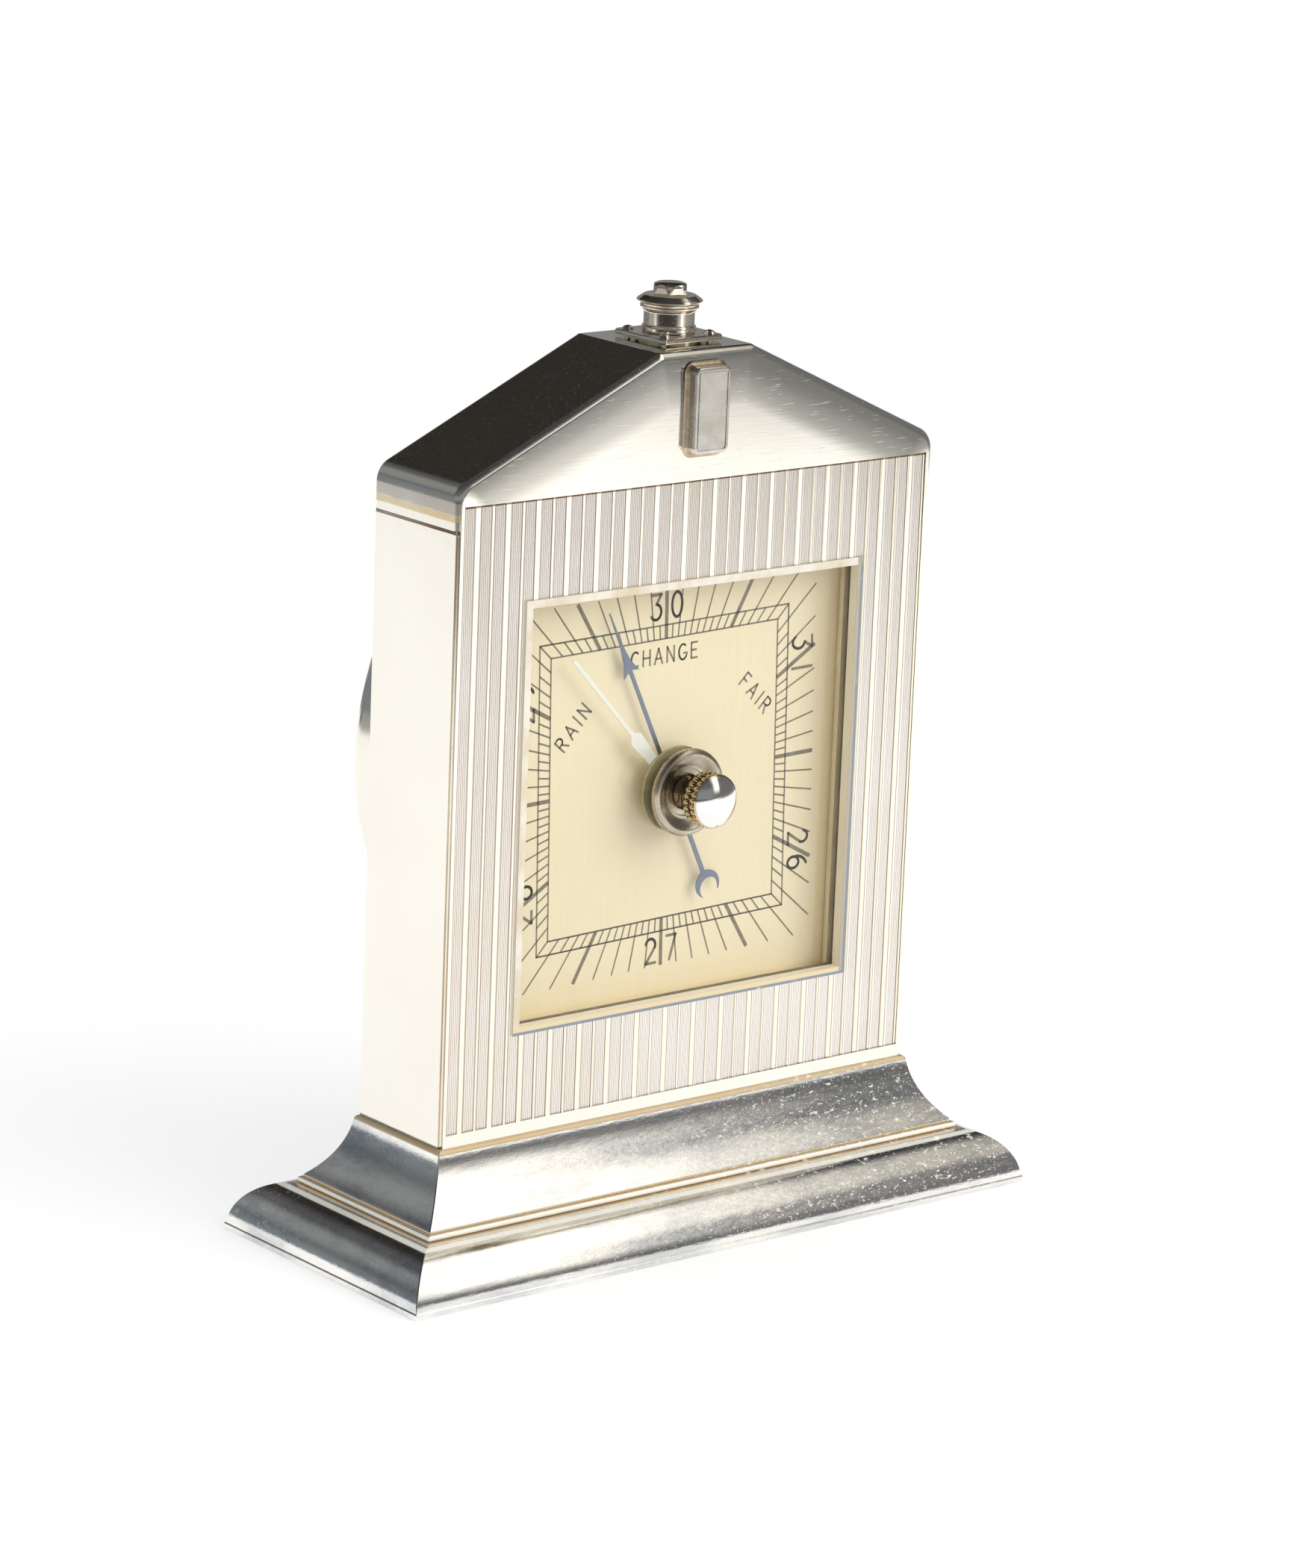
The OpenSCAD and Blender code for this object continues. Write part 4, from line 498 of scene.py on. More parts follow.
def lathe(profile, spot, segments=96):
    # profile is a list of (radius, height), closed at both ends on the axis or left as a ring
    return openSkin([[spot(max(r, 0.0), 2 * math.pi * k / segments, h) for k in range(segments)] for r, h in profile])


def joined(*meshes):
    vertices, faces = [], []
    for more, linked in meshes:
        start = len(vertices)
        vertices.extend(more)
        faces.extend(tuple(i + start for i in face) for face in linked)
    return vertices, faces


def arcPoints(cx, cy, r, start, end, steps):
    turns = (math.radians(start + (end - start) * i / steps) for i in range(steps + 1))
    return [(cx + r * math.cos(a), cy + r * math.sin(a)) for a in turns]


def roundedCorners(halfX, halfY, r, steps):
    # a rectangle round the origin with its corners rounded
    points = []
    for sx, sy, start in ((1, -1, -90), (1, 1, 0), (-1, 1, 90), (-1, -1, 180)):
        points += arcPoints(sx * (halfX - r), sy * (halfY - r), r, start, start + 90, steps)
    return points


def soften(points, r, steps=3):
    # rounds each corner of an open profile by r
    out = [points[0]]
    for before, here, after in zip(points, points[1:], points[2:]):
        here, before, after = Vector(here), Vector(before), Vector(after)
        back, on = before - here, after - here
        reach = min(r, back.length * 0.45, on.length * 0.45)
        first, last = here + back.normalized() * reach, here + on.normalized() * reach
        for i in range(steps + 1):
            t = i / steps
            out.append(tuple(first * (1 - t) ** 2 + here * 2 * t * (1 - t) + last * t * t))
    out.append(points[-1])
    held = [out[0]]
    longWall, hold = 0.4, 0.04  # support points keep a long wall straight in the shading
    for a, b in zip(out, out[1:]):
        a, b = Vector(a), Vector(b)
        if (b - a).length > longWall:
            step = (b - a).normalized() * hold
            held += [tuple(a + step), tuple(b - step)]
        held.append(tuple(b))
    return held


baseSize = dict(halfWidth=35.0, halfDepth=7.8, height=15.1, footReach=11.2, footHeight=0.75, ovoloR=6.15,
                ovoloReach=4.9, ovoloZ=0.15, beadR=0.4, beadReach=4.75, rimReach=9.7, rimDepth=2.4, boardReach=3.0,
                coveR=12.27, coveReach=12.64, coveRise=1.55, noseReach=4.5, noseR=0.35, lipR=0.6, deckIn=1.5,
                mitreR=0.14, edgeR=0.12, footEase=0.05)


def baseProfile(s):
    # reach outside the case and height, from the inner rim of the underside up to the deck
    beadZ = s["ovoloZ"] + s["ovoloR"] + s["beadR"]
    coveZ = s["height"] + s["coveRise"]
    footTop = math.degrees(math.asin((s["footHeight"] - s["ovoloZ"]) / s["ovoloR"]))
    noseTurn = math.acos((s["coveReach"] - s["noseReach"]) / s["coveR"])
    lipTurn = math.asin((s["coveRise"] + s["lipR"]) / s["coveR"])
    points = [(s["rimReach"], 0.0), (s["footReach"] - s["footEase"], 0.0), (s["footReach"], s["footEase"]),
              (s["footReach"], s["footHeight"] - s["edgeR"]), (s["footReach"] - s["edgeR"], s["footHeight"])]
    points += arcPoints(s["ovoloReach"], s["ovoloZ"], s["ovoloR"], footTop, 90, 26)
    points += arcPoints(s["beadReach"], beadZ, s["beadR"], -80, 110, 12)
    nose = (s["noseReach"] - s["noseR"] * math.cos(noseTurn), coveZ - (s["coveR"] + s["noseR"]) * math.sin(noseTurn))
    points += arcPoints(*nose, s["noseR"], -40, math.degrees(noseTurn), 6)
    points += arcPoints(s["coveReach"], coveZ, s["coveR"], 180 + math.degrees(noseTurn), 180 + math.degrees(lipTurn),
                        24)
    lipX = s["coveReach"] - s["coveR"] * math.cos(lipTurn)
    points += arcPoints(lipX - s["lipR"], s["height"] - s["lipR"], s["lipR"], 0, 90, 8)
    return points + [(-s["deckIn"], s["height"])]


def makeBase(s):
    def level(reach, z):  # one level of the moulding, with its corners eased
        return [(x, y, z) for x, y in roundedCorners(s["halfWidth"] + reach, s["halfDepth"] + reach, s["mitreR"], 4)]

    outside = [level(reach, z) for reach, z in baseProfile(s)]
    inside = [level(s["rimReach"], 0.0), level(s["rimReach"], s["rimDepth"]), level(s["boardReach"], s["rimDepth"])]
    return joined(skinOf(outside, False), skinOf(inside, False))


piece("baseMoulding", *makeBase(baseSize), wornSilver, "case", ["base_moulding"], 22.0, "worn_silver")
print("base made")

roofSize = dict(half=35.3, front=-8.05, back=8.05, ridge=105.1, eaves=92.1, ridgeWidth=13.8, shoulder=2.7,
                faceZ=90.0, skirtZ=87.3, wall=1.0, edge=0.9, edgeSteps=8, pillow=0.24, pillowReach=6.0,
                pillowSteps=14, faceHalf=34.7, backHalf=34.2, backRise=0.9)


def roofOutline(s, inset, footZ=80.0, steps=14):
    # from the left foot over the ridge to the right foot, moved in by inset
    slope = math.atan2(s["ridge"] - s["eaves"], s["half"] - s["ridgeWidth"] / 2)
    r = max(s["shoulder"] - inset * 0.5, 0.4)
    half = s["half"] - inset
    cornerZ = s["eaves"] - inset * (1 / math.cos(slope) - math.tan(slope))
    backOff = r * math.tan((math.pi / 2 - slope) / 2)
    top = s["ridge"] - inset
    ridgeX = half - (top - cornerZ) / math.tan(slope)
    shoulder = arcPoints(half - r, cornerZ - backOff, r, 0, 90 - math.degrees(slope), steps)
    ridgeEase = [(ridgeX + 0.35, top - 0.35 * math.tan(slope)), (ridgeX + 0.1, top - 0.02), (ridgeX - 0.3, top)]
    right = [(half, footZ)] + shoulder + ridgeEase
    return [(-x, z) for x, z in right] + [(x, z) for x, z in reversed(right)]


def roofSection(s, inset, y, footZ=80.0):
    return [(x, y, z) for x, z in roofOutline(s, inset, footZ)]


def makePediment(s):
    turns = [math.pi / 2 * i / s["edgeSteps"] for i in range(s["edgeSteps"])]
    edges = [(s["edge"] * (1 - math.cos(a)), s["edge"] * (1 - math.sin(a))) for a in turns]
    shares = [i / s["pillowSteps"] for i in range(s["pillowSteps"] + 1)]
    face = [(s["edge"] + s["pillowReach"] * t, s["pillow"] * (1 - t) ** 2.2) for t in shares]
    rings = [roofSection(s, inset, s["front"] + s["pillow"] + deep) for inset, deep in edges]
    rings += [roofSection(s, inset, s["front"] + deep) for inset, deep in face]
    rings.reverse()
    return skinOf(rings + [roofSection(s, inset, s["back"] - deep) for inset, deep in edges])


def boxCutter(name, low, high):
    corners = [(x, y, z) for x in (low[0], high[0]) for y in (low[1], high[1]) for z in (low[2], high[2])]
    faces = [(0, 1, 3, 2), (4, 6, 7, 5), (0, 4, 5, 1), (2, 3, 7, 6), (0, 2, 6, 4), (1, 5, 7, 3)]
    return inScene(name, meshOf(name, corners, faces))


def carved(name, vertices, faces, cutters):
    # a mesh with other solids taken out of it
    blank = inScene(name + "Blank", meshOf(name, vertices, faces))
    for cutter in cutters:
        cut = blank.modifiers.new("cut", "BOOLEAN")
        cut.operation = "DIFFERENCE"
        cut.solver = "EXACT"
        cut.object = cutter
    ready = bpy.data.meshes.new_from_object(blank.evaluated_get(bpy.context.evaluated_depsgraph_get()))
    for gone in [blank, *cutters]:
        bpy.data.objects.remove(gone)
    return ready


def hollowPediment(s):
    insideFront, insideBack = s["front"] + s["wall"], s["back"] - s["wall"]
    hollow = [roofSection(s, s["wall"] + 0.1, y, 70.0) for y in (insideFront + 0.35, insideBack)]
    return carved("pediment", *makePediment(s), [
        inScene("roofHollow", meshOf("roofHollow", *skinOf(hollow))),
        boxCutter("underCut", (-40, -12, 60), (40, 12, s["skirtZ"])),
        boxCutter("faceCut", (-s["faceHalf"], -12, 60), (s["faceHalf"], insideFront + 1, s["faceZ"])),
        boxCutter("backCut", (-s["backHalf"], insideBack - 0.5, 60), (s["backHalf"], 12, s["faceZ"] + s["backRise"]))])


placed("pedimentShell", hollowPediment(roofSize), pedimentSilver, "case", ["pediment"], 26.0)
print("pediment made")

# the badge is left bare
badgeSize = dict(x=-0.45, z=98.3, width=5.2, height=10.1, thick=1.45, r=0.8, leastR=0.2, seat=-8.05, sunk=0.3,
                 edge=0.28, groove=((0.42, 0.0), (0.45, 0.12), (0.60, 0.12), (0.63, 0.0)), solder=0.55,
                 solderRise=0.5, solderLift=0.01)


def badgeRing(b, grow, r, y):
    return [(b["x"] + x, y, b["z"] + z)
            for x, z in roundedCorners(b["width"] / 2 + grow, b["height"] / 2 + grow, r, 6)]


def makeBadge(b):
    top = b["seat"] - b["thick"]
    rings = [badgeRing(b, 0, b["r"], b["seat"] + b["sunk"])]
    turns = [math.pi / 2 * i / 5 for i in range(6)]
    steps = [(b["edge"] * (1 - math.cos(a)), b["edge"] * (1 - math.sin(a))) for a in turns]
    for inset, deep in [*steps, *b["groove"]]:
        rings.append(badgeRing(b, -inset, max(b["r"] - inset, b["leastR"]), top + deep))
    return skinOf(rings)


def makeSolder(b):
    # thin run of solder round the foot of the badge
    rings = []
    for i in range(7):
        a = math.pi / 2 * i / 6
        grow = b["solder"] * (1 - math.sin(a))
        rings.append(badgeRing(b, grow, b["r"] + grow, b["seat"] - b["solderRise"] * (1 - math.cos(a))
                              - b["solderLift"]))
    return openSkin(rings)


solderLook = dict(tint=(0.62, 0.50, 0.36), warmTint=(0.50, 0.38, 0.26), grainTint=(0.86, 0.80, 0.70), rough=0.22,
                  grainScale=(3000, 3000, 3000), cloudScale=900, bump=0.5)
badgeLook = dict(tint=(0.74, 0.71, 0.65), warmTint=(0.62, 0.57, 0.50), grainTint=(0.88, 0.85, 0.79), rough=0.20,
                 cloudScale=500)
solder = satinFinish("solder", solderLook)
badgeSilver = satinFinish("badgeSilver", badgeLook)
piece("badgePlate", *makeBadge(badgeSize), badgeSilver, "case", ["badge_plate"], 40.0, "polished_silver")
piece("badgeSolder", *makeSolder(badgeSize), solder, "case", (), 60.0, "polished_silver")
print("badge made")

fillerSize = dict(x=0.35, padR=3.8, padZ=105.1, flangeZ=105.3, flange=9.2, flangeT=0.65, flangeR=0.7,
                  flangeEdge=0.16, neckZ=105.95, neckR=2.95, collarR=3.15, collarH=0.7, neckH=2.5, bandR=3.4,
                  rimR=3.85, capH=1.8, hexR=2.2, hexTurn=0.35,
                  hexLevels=((-0.05, 9.0), (0.0, 9.0), (0.6, 9.0), (0.85, 0.985), (1.08, 0.94), (1.26, 0.85),
                             (1.39, 0.70), (1.47, 0.45), (1.5, 0.2)))


def makeFlange(f):
    spot = upwards((f["x"], 0, 0))
    pad = [[spot(f["padR"], 2 * math.pi * k / 48, z) for k in range(48)]
           for z in (f["padZ"] - 0.05, f["flangeZ"] + 0.02)]

    def square(grow, z):
        half = f["flange"] / 2 + grow
        return [(f["x"] + x, y, z) for x, y in roundedCorners(half, half, f["flangeR"], 6)]

    edge, low, high = f["flangeEdge"], f["flangeZ"], f["flangeZ"] + f["flangeT"]
    plate = [square(-edge, low), square(-0.05, low + 0.05), square(0, low + edge), square(0, high - edge * 1.2),
             square(-0.05, high - 0.06), square(-edge, high)]
    return joined(skinOf(pad), skinOf(plate))


def makeNeck(f):
    profile = soften([(0.0, 0), (f["collarR"], 0), (f["collarR"], f["collarH"]), (f["neckR"], f["collarH"] + 0.12),
                      (f["neckR"], f["neckH"]), (f["neckR"] + 0.25, f["neckH"] + 0.1), (0.0, f["neckH"] + 0.1)], 0.12)
    return lathe(profile, upwards((f["x"], 0, f["neckZ"])))


def makeCap(f):
    profile = soften([(0.0, 0.02), (f["neckR"] + 0.12, 0.02), (f["neckR"] + 0.14, 0.2), (f["bandR"] - 0.1, 0.26),
                      (f["bandR"], 0.34), (f["bandR"], 0.66), (f["bandR"] - 0.2, 0.78), (f["bandR"] + 0.05, 0.9),
                      (f["rimR"] - 0.06, 1.06), (f["rimR"], 1.16), (f["rimR"] - 0.08, 1.3),
                      (f["rimR"] - 0.72, f["capH"] - 0.06), (f["rimR"] - 0.82, f["capH"]), (0.0, f["capH"])], 0.07)
    return lathe(profile, upwards((f["x"], 0, f["neckZ"] + f["neckH"])))


def makeHexagon(f):
    # hexagon with a domed, chamfered top: at each level the dome cuts the six sides
    spot = upwards((f["x"], 0, f["neckZ"] + f["neckH"] + f["capH"]))
    rings = []
    for h, dome in f["hexLevels"]:
        ring = []
        for k in range(60):
            a = 2 * math.pi * k / 60
            local = (a + math.pi / 6) % (math.pi / 3) - math.pi / 6
            side = f["hexR"] * math.cos(math.pi / 6) / math.cos(local)
            ring.append(spot(min(side, f["hexR"] * dome), a + f["hexTurn"], h))
        rings.append(ring)
    return skinOf(rings)


for name, made, node, crease in (
        ("fillerFlange", makeFlange(fillerSize), "filler_flange", 30.0),
        ("fillerNeck", makeNeck(fillerSize), "filler_neck", 40.0),
        ("fillerCap", makeCap(fillerSize), "filler_cap", 40.0),
        ("fillerHexagon", makeHexagon(fillerSize), "filler_hexagon", 24.0)):
    piece(name, *made, fillerSilver, "case", [node], crease, "polished_silver")
print("filler made")

collarSize = dict(z=52.7, seat=-6.64, r=5.25, rise=1.3, wellR=3.2, floorH=0.3, boreR=1.04)


def makeCollar(c):
    bulge = c["rise"] / 2
    profile = [(c["boreR"], 0.0), (c["r"] - bulge, 0.0)]
    profile += arcPoints(c["r"] - bulge, bulge, bulge, -90, 118, 22)
    profile += [(c["wellR"] + 0.12, c["floorH"] + 0.42), (c["wellR"], c["floorH"] + 0.30),
                (c["wellR"] - 0.35, c["floorH"] + 0.27), (c["wellR"] - 0.42, c["floorH"] + 0.02),
                (c["boreR"], c["floorH"]), (c["boreR"], 0.0)]
    return lathe(profile, towardsFront((0, c["seat"], c["z"])), 128)


knobSize = dict(z=52.7, seat=-6.98, neckFoot=2.2, footH=0.2, waist=0.5, neckIn=0.45, neckH=3.2, r=3.3, ringT=1.0,
                groove=0.2, grooveDepth=0.18, domeH=1.0, beads=26, beadR=0.36, beadSide=0.96, beadSwell=0.55,
                spindleR=1.0, spindleBack=-4.66)


def knobProfile(k):
    ringTop = k["neckH"] + k["ringT"]
    grooveTop = ringTop + k["groove"]
    ringEnd = grooveTop + k["ringT"]
    domeFoot = k["r"] - 0.1
    bend = (domeFoot ** 2 + k["domeH"] ** 2) / (2 * k["domeH"])
    spindleEnd = k["seat"] - k["spindleBack"]
    profile = [(0.0, spindleEnd), (k["spindleR"], spindleEnd), (k["spindleR"], 0.0), (k["neckFoot"], 0.0),
               (k["neckFoot"], k["footH"])]
    for i in range(1, 13):
        t = i / 12
        flare = t * t * (k["r"] - k["neckIn"] - k["neckFoot"])
        profile.append((k["neckFoot"] - k["waist"] * math.sin(math.pi * t) + flare,
                        k["footH"] + (k["neckH"] - k["footH"]) * t))
    core = k["r"] - k["beadR"] - 0.12
    low = core - k["grooveDepth"]
    profile += [(core, k["neckH"] + 0.02), (core, ringTop), (low, ringTop + 0.04), (low, grooveTop - 0.04),
                (core, grooveTop), (core, ringEnd - 0.1), (domeFoot - 0.12, ringEnd - 0.06),
                (domeFoot, ringEnd + 0.02)]
    for i in range(1, 25):
        a = math.asin(domeFoot / bend) * (1 - i / 24)
        profile.append((bend * math.sin(a), ringEnd + k["domeH"] - bend * (1 - math.cos(a))))
    return profile


def makeKnob(k):
    # two rings of beads round a turned core
    spot = towardsFront((0, k["seat"], k["z"]))
    parts = [lathe(knobProfile(k), spot, 104)]
    for row, start in enumerate((k["neckH"], k["neckH"] + k["ringT"] + k["groove"])):
        for n in range(k["beads"]):
            a0 = 2 * math.pi * (n + 0.5 * row) / k["beads"]
            rings = []
            for i in range(9):
                t = math.pi * i / 8
                h = start + k["ringT"] / 2 - math.cos(t) * k["ringT"] / 2
                swell = math.sin(t) ** k["beadSwell"] if 0 < i < 8 else 0.02
                ring = []
                for j in range(12):
                    b = 2 * math.pi * j / 12
                    r = k["r"] - k["beadR"] + k["beadR"] * swell * math.cos(b)
                    side = k["beadR"] * k["beadSide"] * swell * math.sin(b)
                    ring.append(spot(math.hypot(r, side), a0 + math.atan2(side, r), h))
                rings.append(ring)
            parts.append(skinOf(rings))
    return joined(*parts)


piece("dishCollar", *makeCollar(collarSize), nickel, "case", ["dish_collar"], 30.0, "nickel")
piece("settingKnob", *makeKnob(knobSize), knobNickel, "set_knob", ["knob"], 40.0, "nickel")
print("knob made")

# half widths and half heights of the walls between the glass and the dial
recessSize = dict(z=52.7, front=-5.44, back=-2.81, flangeFront=-3.61, wall=0.8, footWall=0.32,
                  outer=(28.8, 29.3), mouth=(24.32, 24.82), foot=(25.9, 26.4))


def makeRecess(r):
    def ring(name, y, by=0.0):
        halfX, halfZ = r[name][0] + by, r[name][1] + by
        return [(sx * halfX, y, r["z"] + sz * halfZ) for sx, sz in ((-1, -1), (1, -1), (1, 1), (-1, 1))]

    return openSkin([ring("mouth", r["front"]), ring("mouth", r["front"], r["wall"]),
                     ring("foot", r["flangeFront"], r["footWall"]), ring("outer", r["flangeFront"]),
                     ring("outer", r["back"]), ring("foot", r["back"]), ring("mouth", r["front"])])


piece("recessWalls", *makeRecess(recessSize), recessMetal, "case", ["dial_recess"], 20.0)
print("recess made")

# angles are clockwise from the top; each word or figure has its place, then how far it is turned
printSize = dict(x=0.0, z=53.3, y=-2.815, turn=1.55, outer=18.58, inner=16.94, reach=22.8, thin=0.2, bold=0.5,
                 tickStep=3, figure=3.0, figureWidth=1.55, figureAt=20.85, figureStroke=0.36, wordStroke=0.24,
                 wordHeight=1.85,
                 figures=(("30", 0, 0), ("31", 60, 90), ("26", 120, 90), ("27", 180, 0), ("28", 240, -90),
                          ("29", 300, -90)),
                 words=(("CHANGE", (-0.25, 14.98), 0, 0.385), ("RAIN", (-13.6, 8.25), -47.5, 0.46),
                        ("FAIR", (13.75, 8.4), 47.5, 0.46)))


def strokes():
    # width and pen lines of the figures and letters, in a box one unit high
    def oval(cx, cy, rx, ry, start, end, steps=14):
        turns = (math.radians(start + (end - start) * i / steps) for i in range(steps + 1))
        return [(cx + rx * math.cos(a), cy + ry * math.sin(a)) for a in turns]

    return {
        "0": (0.50, [oval(0.25, 0.5, 0.25, 0.5, 90, 450, 24)]),
        "1": (0.10, [[(0.05, 0), (0.05, 1)]]),
        "2": (0.50, [oval(0.25, 0.74, 0.24, 0.26, 170, -25) + [(0.02, 0.0)], [(0.02, 0), (0.5, 0)]]),
        "3": (0.50, [[(0.03, 1), (0.48, 1), (0.25, 0.62)], oval(0.23, 0.31, 0.26, 0.31, 85, -150)]),
        "6": (0.52, [oval(0.26, 0.29, 0.24, 0.29, 0, 360, 20), oval(0.52, 0.42, 0.5, 0.58, 178, 108)]),
        "7": (0.50, [[(0.02, 1), (0.48, 1), (0.17, 0)]]),
        "8": (0.50, [oval(0.25, 0.76, 0.20, 0.24, 0, 360, 18), oval(0.25, 0.27, 0.25, 0.27, 0, 360, 20)]),
        "9": (0.52, [oval(0.26, 0.71, 0.24, 0.29, 0, 360, 20), oval(0.0, 0.58, 0.5, 0.58, -2, -72)]),
        "A": (0.62, [[(0, 0), (0.31, 1), (0.62, 0)], [(0.11, 0.34), (0.51, 0.34)]]),
        "C": (0.58, [oval(0.34, 0.5, 0.33, 0.5, 52, 308, 20)]),
        "E": (0.46, [[(0.46, 0), (0, 0), (0, 1), (0.46, 1)], [(0, 0.52), (0.38, 0.52)]]),
        "F": (0.44, [[(0, 0), (0, 1), (0.44, 1)], [(0, 0.52), (0.36, 0.52)]]),
        "G": (0.64, [oval(0.34, 0.5, 0.33, 0.5, 52, 340, 22), [(0.40, 0.42), (0.66, 0.42)]]),
        "H": (0.54, [[(0, 0), (0, 1)], [(0.54, 0), (0.54, 1)], [(0, 0.5), (0.54, 0.5)]]),
        "I": (0.06, [[(0.03, 0), (0.03, 1)]]),
        "N": (0.56, [[(0, 0), (0, 1), (0.56, 0), (0.56, 1)]]),
        "R": (0.50, [[(0, 0), (0, 1), (0.24, 1)] + oval(0.24, 0.75, 0.24, 0.25, 90, -90, 10) + [(0.0, 0.5)],
                     [(0.24, 0.5), (0.52, 0)]]),
    }


def turnedBy(u, v, turn):
    return u * math.cos(turn) - v * math.sin(turn), u * math.sin(turn) + v * math.cos(turn)


def makePrint(p):
    vertices, faces = [], []
    glyphs = strokes()

    def dot(u, v):
        x, z = turnedBy(u, v, math.radians(p["turn"]))
        vertices.append((x + p["x"], p["y"], z + p["z"]))
        return len(vertices) - 1

    def bar(a, b, width, roundEnds=False):
        a, b = Vector(a), Vector(b)
        along = (b - a).normalized()
        side = Vector((-along.y, along.x)) * width / 2
        if roundEnds:
            for end, way in ((a, -along), (b, along)):
                start = math.atan2(way.y, way.x)
                faces.append([dot(end.x + width / 2 * math.cos(start + t * math.pi / 6),
                                  end.y + width / 2 * math.sin(start + t * math.pi / 6)) for t in range(-3, 4)])
        faces.append([dot(*(a - side)), dot(*(b - side)), dot(*(b + side)), dot(*(a + side))])

    def word(text, size, stroke, centre, angle, gap):
        turn = math.radians(-angle)
        pen = -(sum(glyphs[c][0] for c in text) + gap * (len(text) - 1)) / 2
        for c in text:
            wide, lines = glyphs[c]
            for line in lines:
                spots = []
                for gx, gy in line:
                    u, v = turnedBy((pen + gx) * size, (gy - 0.5) * size, turn)
                    spots.append((centre[0] + u, centre[1] + v))
                for a, b in zip(spots, spots[1:]):
                    bar(a, b, stroke, True)
            pen += wide + gap

    def onSquare(angle, half):
        a = math.radians(angle)
        far = half / max(abs(math.sin(a)), abs(math.cos(a)))
        return far * math.sin(a), far * math.cos(a)

    for half in (p["inner"], p["outer"]):
        corners = [(-half, -half), (half, -half), (half, half), (-half, half)]
        for a, b in zip(corners, corners[1:] + corners[:1]):
            along = (Vector(b) - Vector(a)).normalized() * p["thin"] / 2
            bar(Vector(a) - along, Vector(b) + along, p["thin"])
    for angle in range(0, 360, p["tickStep"]):
        end = p["outer"] if angle % 6 else p["reach"]
        bar(onSquare(angle, p["inner"]), onSquare(angle, end), p["thin"] if angle % 30 else p["bold"])
    for text, angle, spin in p["figures"]:
        tick = onSquare(angle, p["figureAt"])
        for side, c in zip((-1, 1), text):
            u, v = turnedBy(side * p["figureWidth"], 0, math.radians(-spin))
            word(c, p["figure"], p["figureStroke"], (tick[0] + u, tick[1] + v), spin, 0)
    for text, centre, angle, gap in p["words"]:
        word(text, p["wordHeight"], p["wordStroke"], centre, angle, gap)
    return vertices, faces


piece("dialPrint", *makePrint(printSize), dialInk, "case", (), 30.0, "dial_metal")
print("dial print made")

finishOf = {
    "base_board": stainedWood, "case_shell": caseSilver, "grille_panel": grilleSilver, "window_frame": frameSilver,
    "window_glass": clearGlass, "dial_plate": dialChampagne, "vacuum_capsule": capsuleMetal, "bush_nut": nutBrass,
    "set_hand": handSilver,
}
sharedFinishes = (
    (polishedSilver, ("front_rails", "flange_screws", "back_cover")),
    (giltBrass, ("board_screws", "case_screws", "panel_posts", "dial_screws", "filler_stud", "filler_nut")),
    (movementBrass, ("movement_plate", "movement_pillars", "capsule_nut", "main_lever", "rocker_brackets",
                     "chain_arm", "cock_pillars", "rear_cock", "front_cock", "chain_pulley", "hairspring_stud")),
    (steel, ("capsule_post", "rocking_shaft", "pull_chain", "pointer_arbor")),
    (bluedSteel, ("main_spring", "hairspring", "pointer")),
    (bluedScrew, ("pillar_screws", "spring_screws", "bracket_screws", "cock_screws", "setting_screw")),
)
for finish, names in sharedFinishes:
    finishOf.update(dict.fromkeys(names, finish))
for name, finish in finishOf.items():
    nodes[name].data.materials.clear()
    nodes[name].data.materials.append(finish)
print("nodes finished:", len(finishOf))

floorLook = dict(half=1.6, base=0.70, shown=0.50, glow=0.49, far=0.21,
                 farLeft=0.38, near=0.04, whiteAt=(0.35, 0.5), paleAt=(0.455, 0.60), paleFacing=(-0.56, -0.44),
                 nearFacing=(-0.75, -0.45), farRight=(-0.04, 0.05), lean=0.8,
                 stripes=((-0.58, 0.14), (0.24, -0.58)), stripeAt=(0.06, 0.10), stripeTint=0.9)


def makeFloor(f):
    # pale to the camera, and in polished metal dark at the front left and fading towards the right
    h = f["half"]
    shape = bpy.data.meshes.new("paleFloor")
    shape.from_pydata([(-h, -h, 0), (h, -h, 0), (h, h, 0), (-h, h, 0)], [], [(0, 1, 2, 3)])
    material = bpy.data.materials.new("paleFloor")
    wire = bareTree(material)
    place = wire.add("TexCoord", out=3)

    def flat(level):
        return wire.add("BsdfDiffuse", None, {"Color": (level,) * 3})

    def lit(strength):
        return wire.add("Emission", None, {"Color": (1, 1, 1), "Strength": strength})

    away = place.add("VectorMath", {"operation": "LENGTH"}, {0: place}, out=1)
    facing = place.axis(0) + place.axis(1)
    rightward = place.axis(0) + place.axis(1) * f["lean"]
    pale = (1 - away.above(*f["paleAt"])) * facing.above(*f["paleFacing"])
    camera, glossy = wire.add("LightPath", out=0), wire.add("LightPath", out=3)
    dark = blended(rightward.above(*f["farRight"]), flat(f["farLeft"]), flat(f["far"]))
    dark = blended(facing.above(*f["nearFacing"]), flat(f["near"]), dark)
    for x, y in f["stripes"]:
        gap = place.add("VectorMath", {"operation": "DISTANCE"}, {0: place, 1: (x, y, 0)}, out=1)
        dark = blended(1 - gap.above(*f["stripeAt"]), dark, flat(f["stripeTint"]))
    white = wire.add("AddShader", None, {0: flat(f["shown"]), 1: lit(f["glow"])})
    white = blended(camera * away.above(*f["whiteAt"]), white, lit(1.0))
    closeTree(blended(camera.most(glossy * pale), blended(glossy, flat(f["base"]), dark), white))
    shape.materials.append(material)
    inScene("paleFloor", shape)


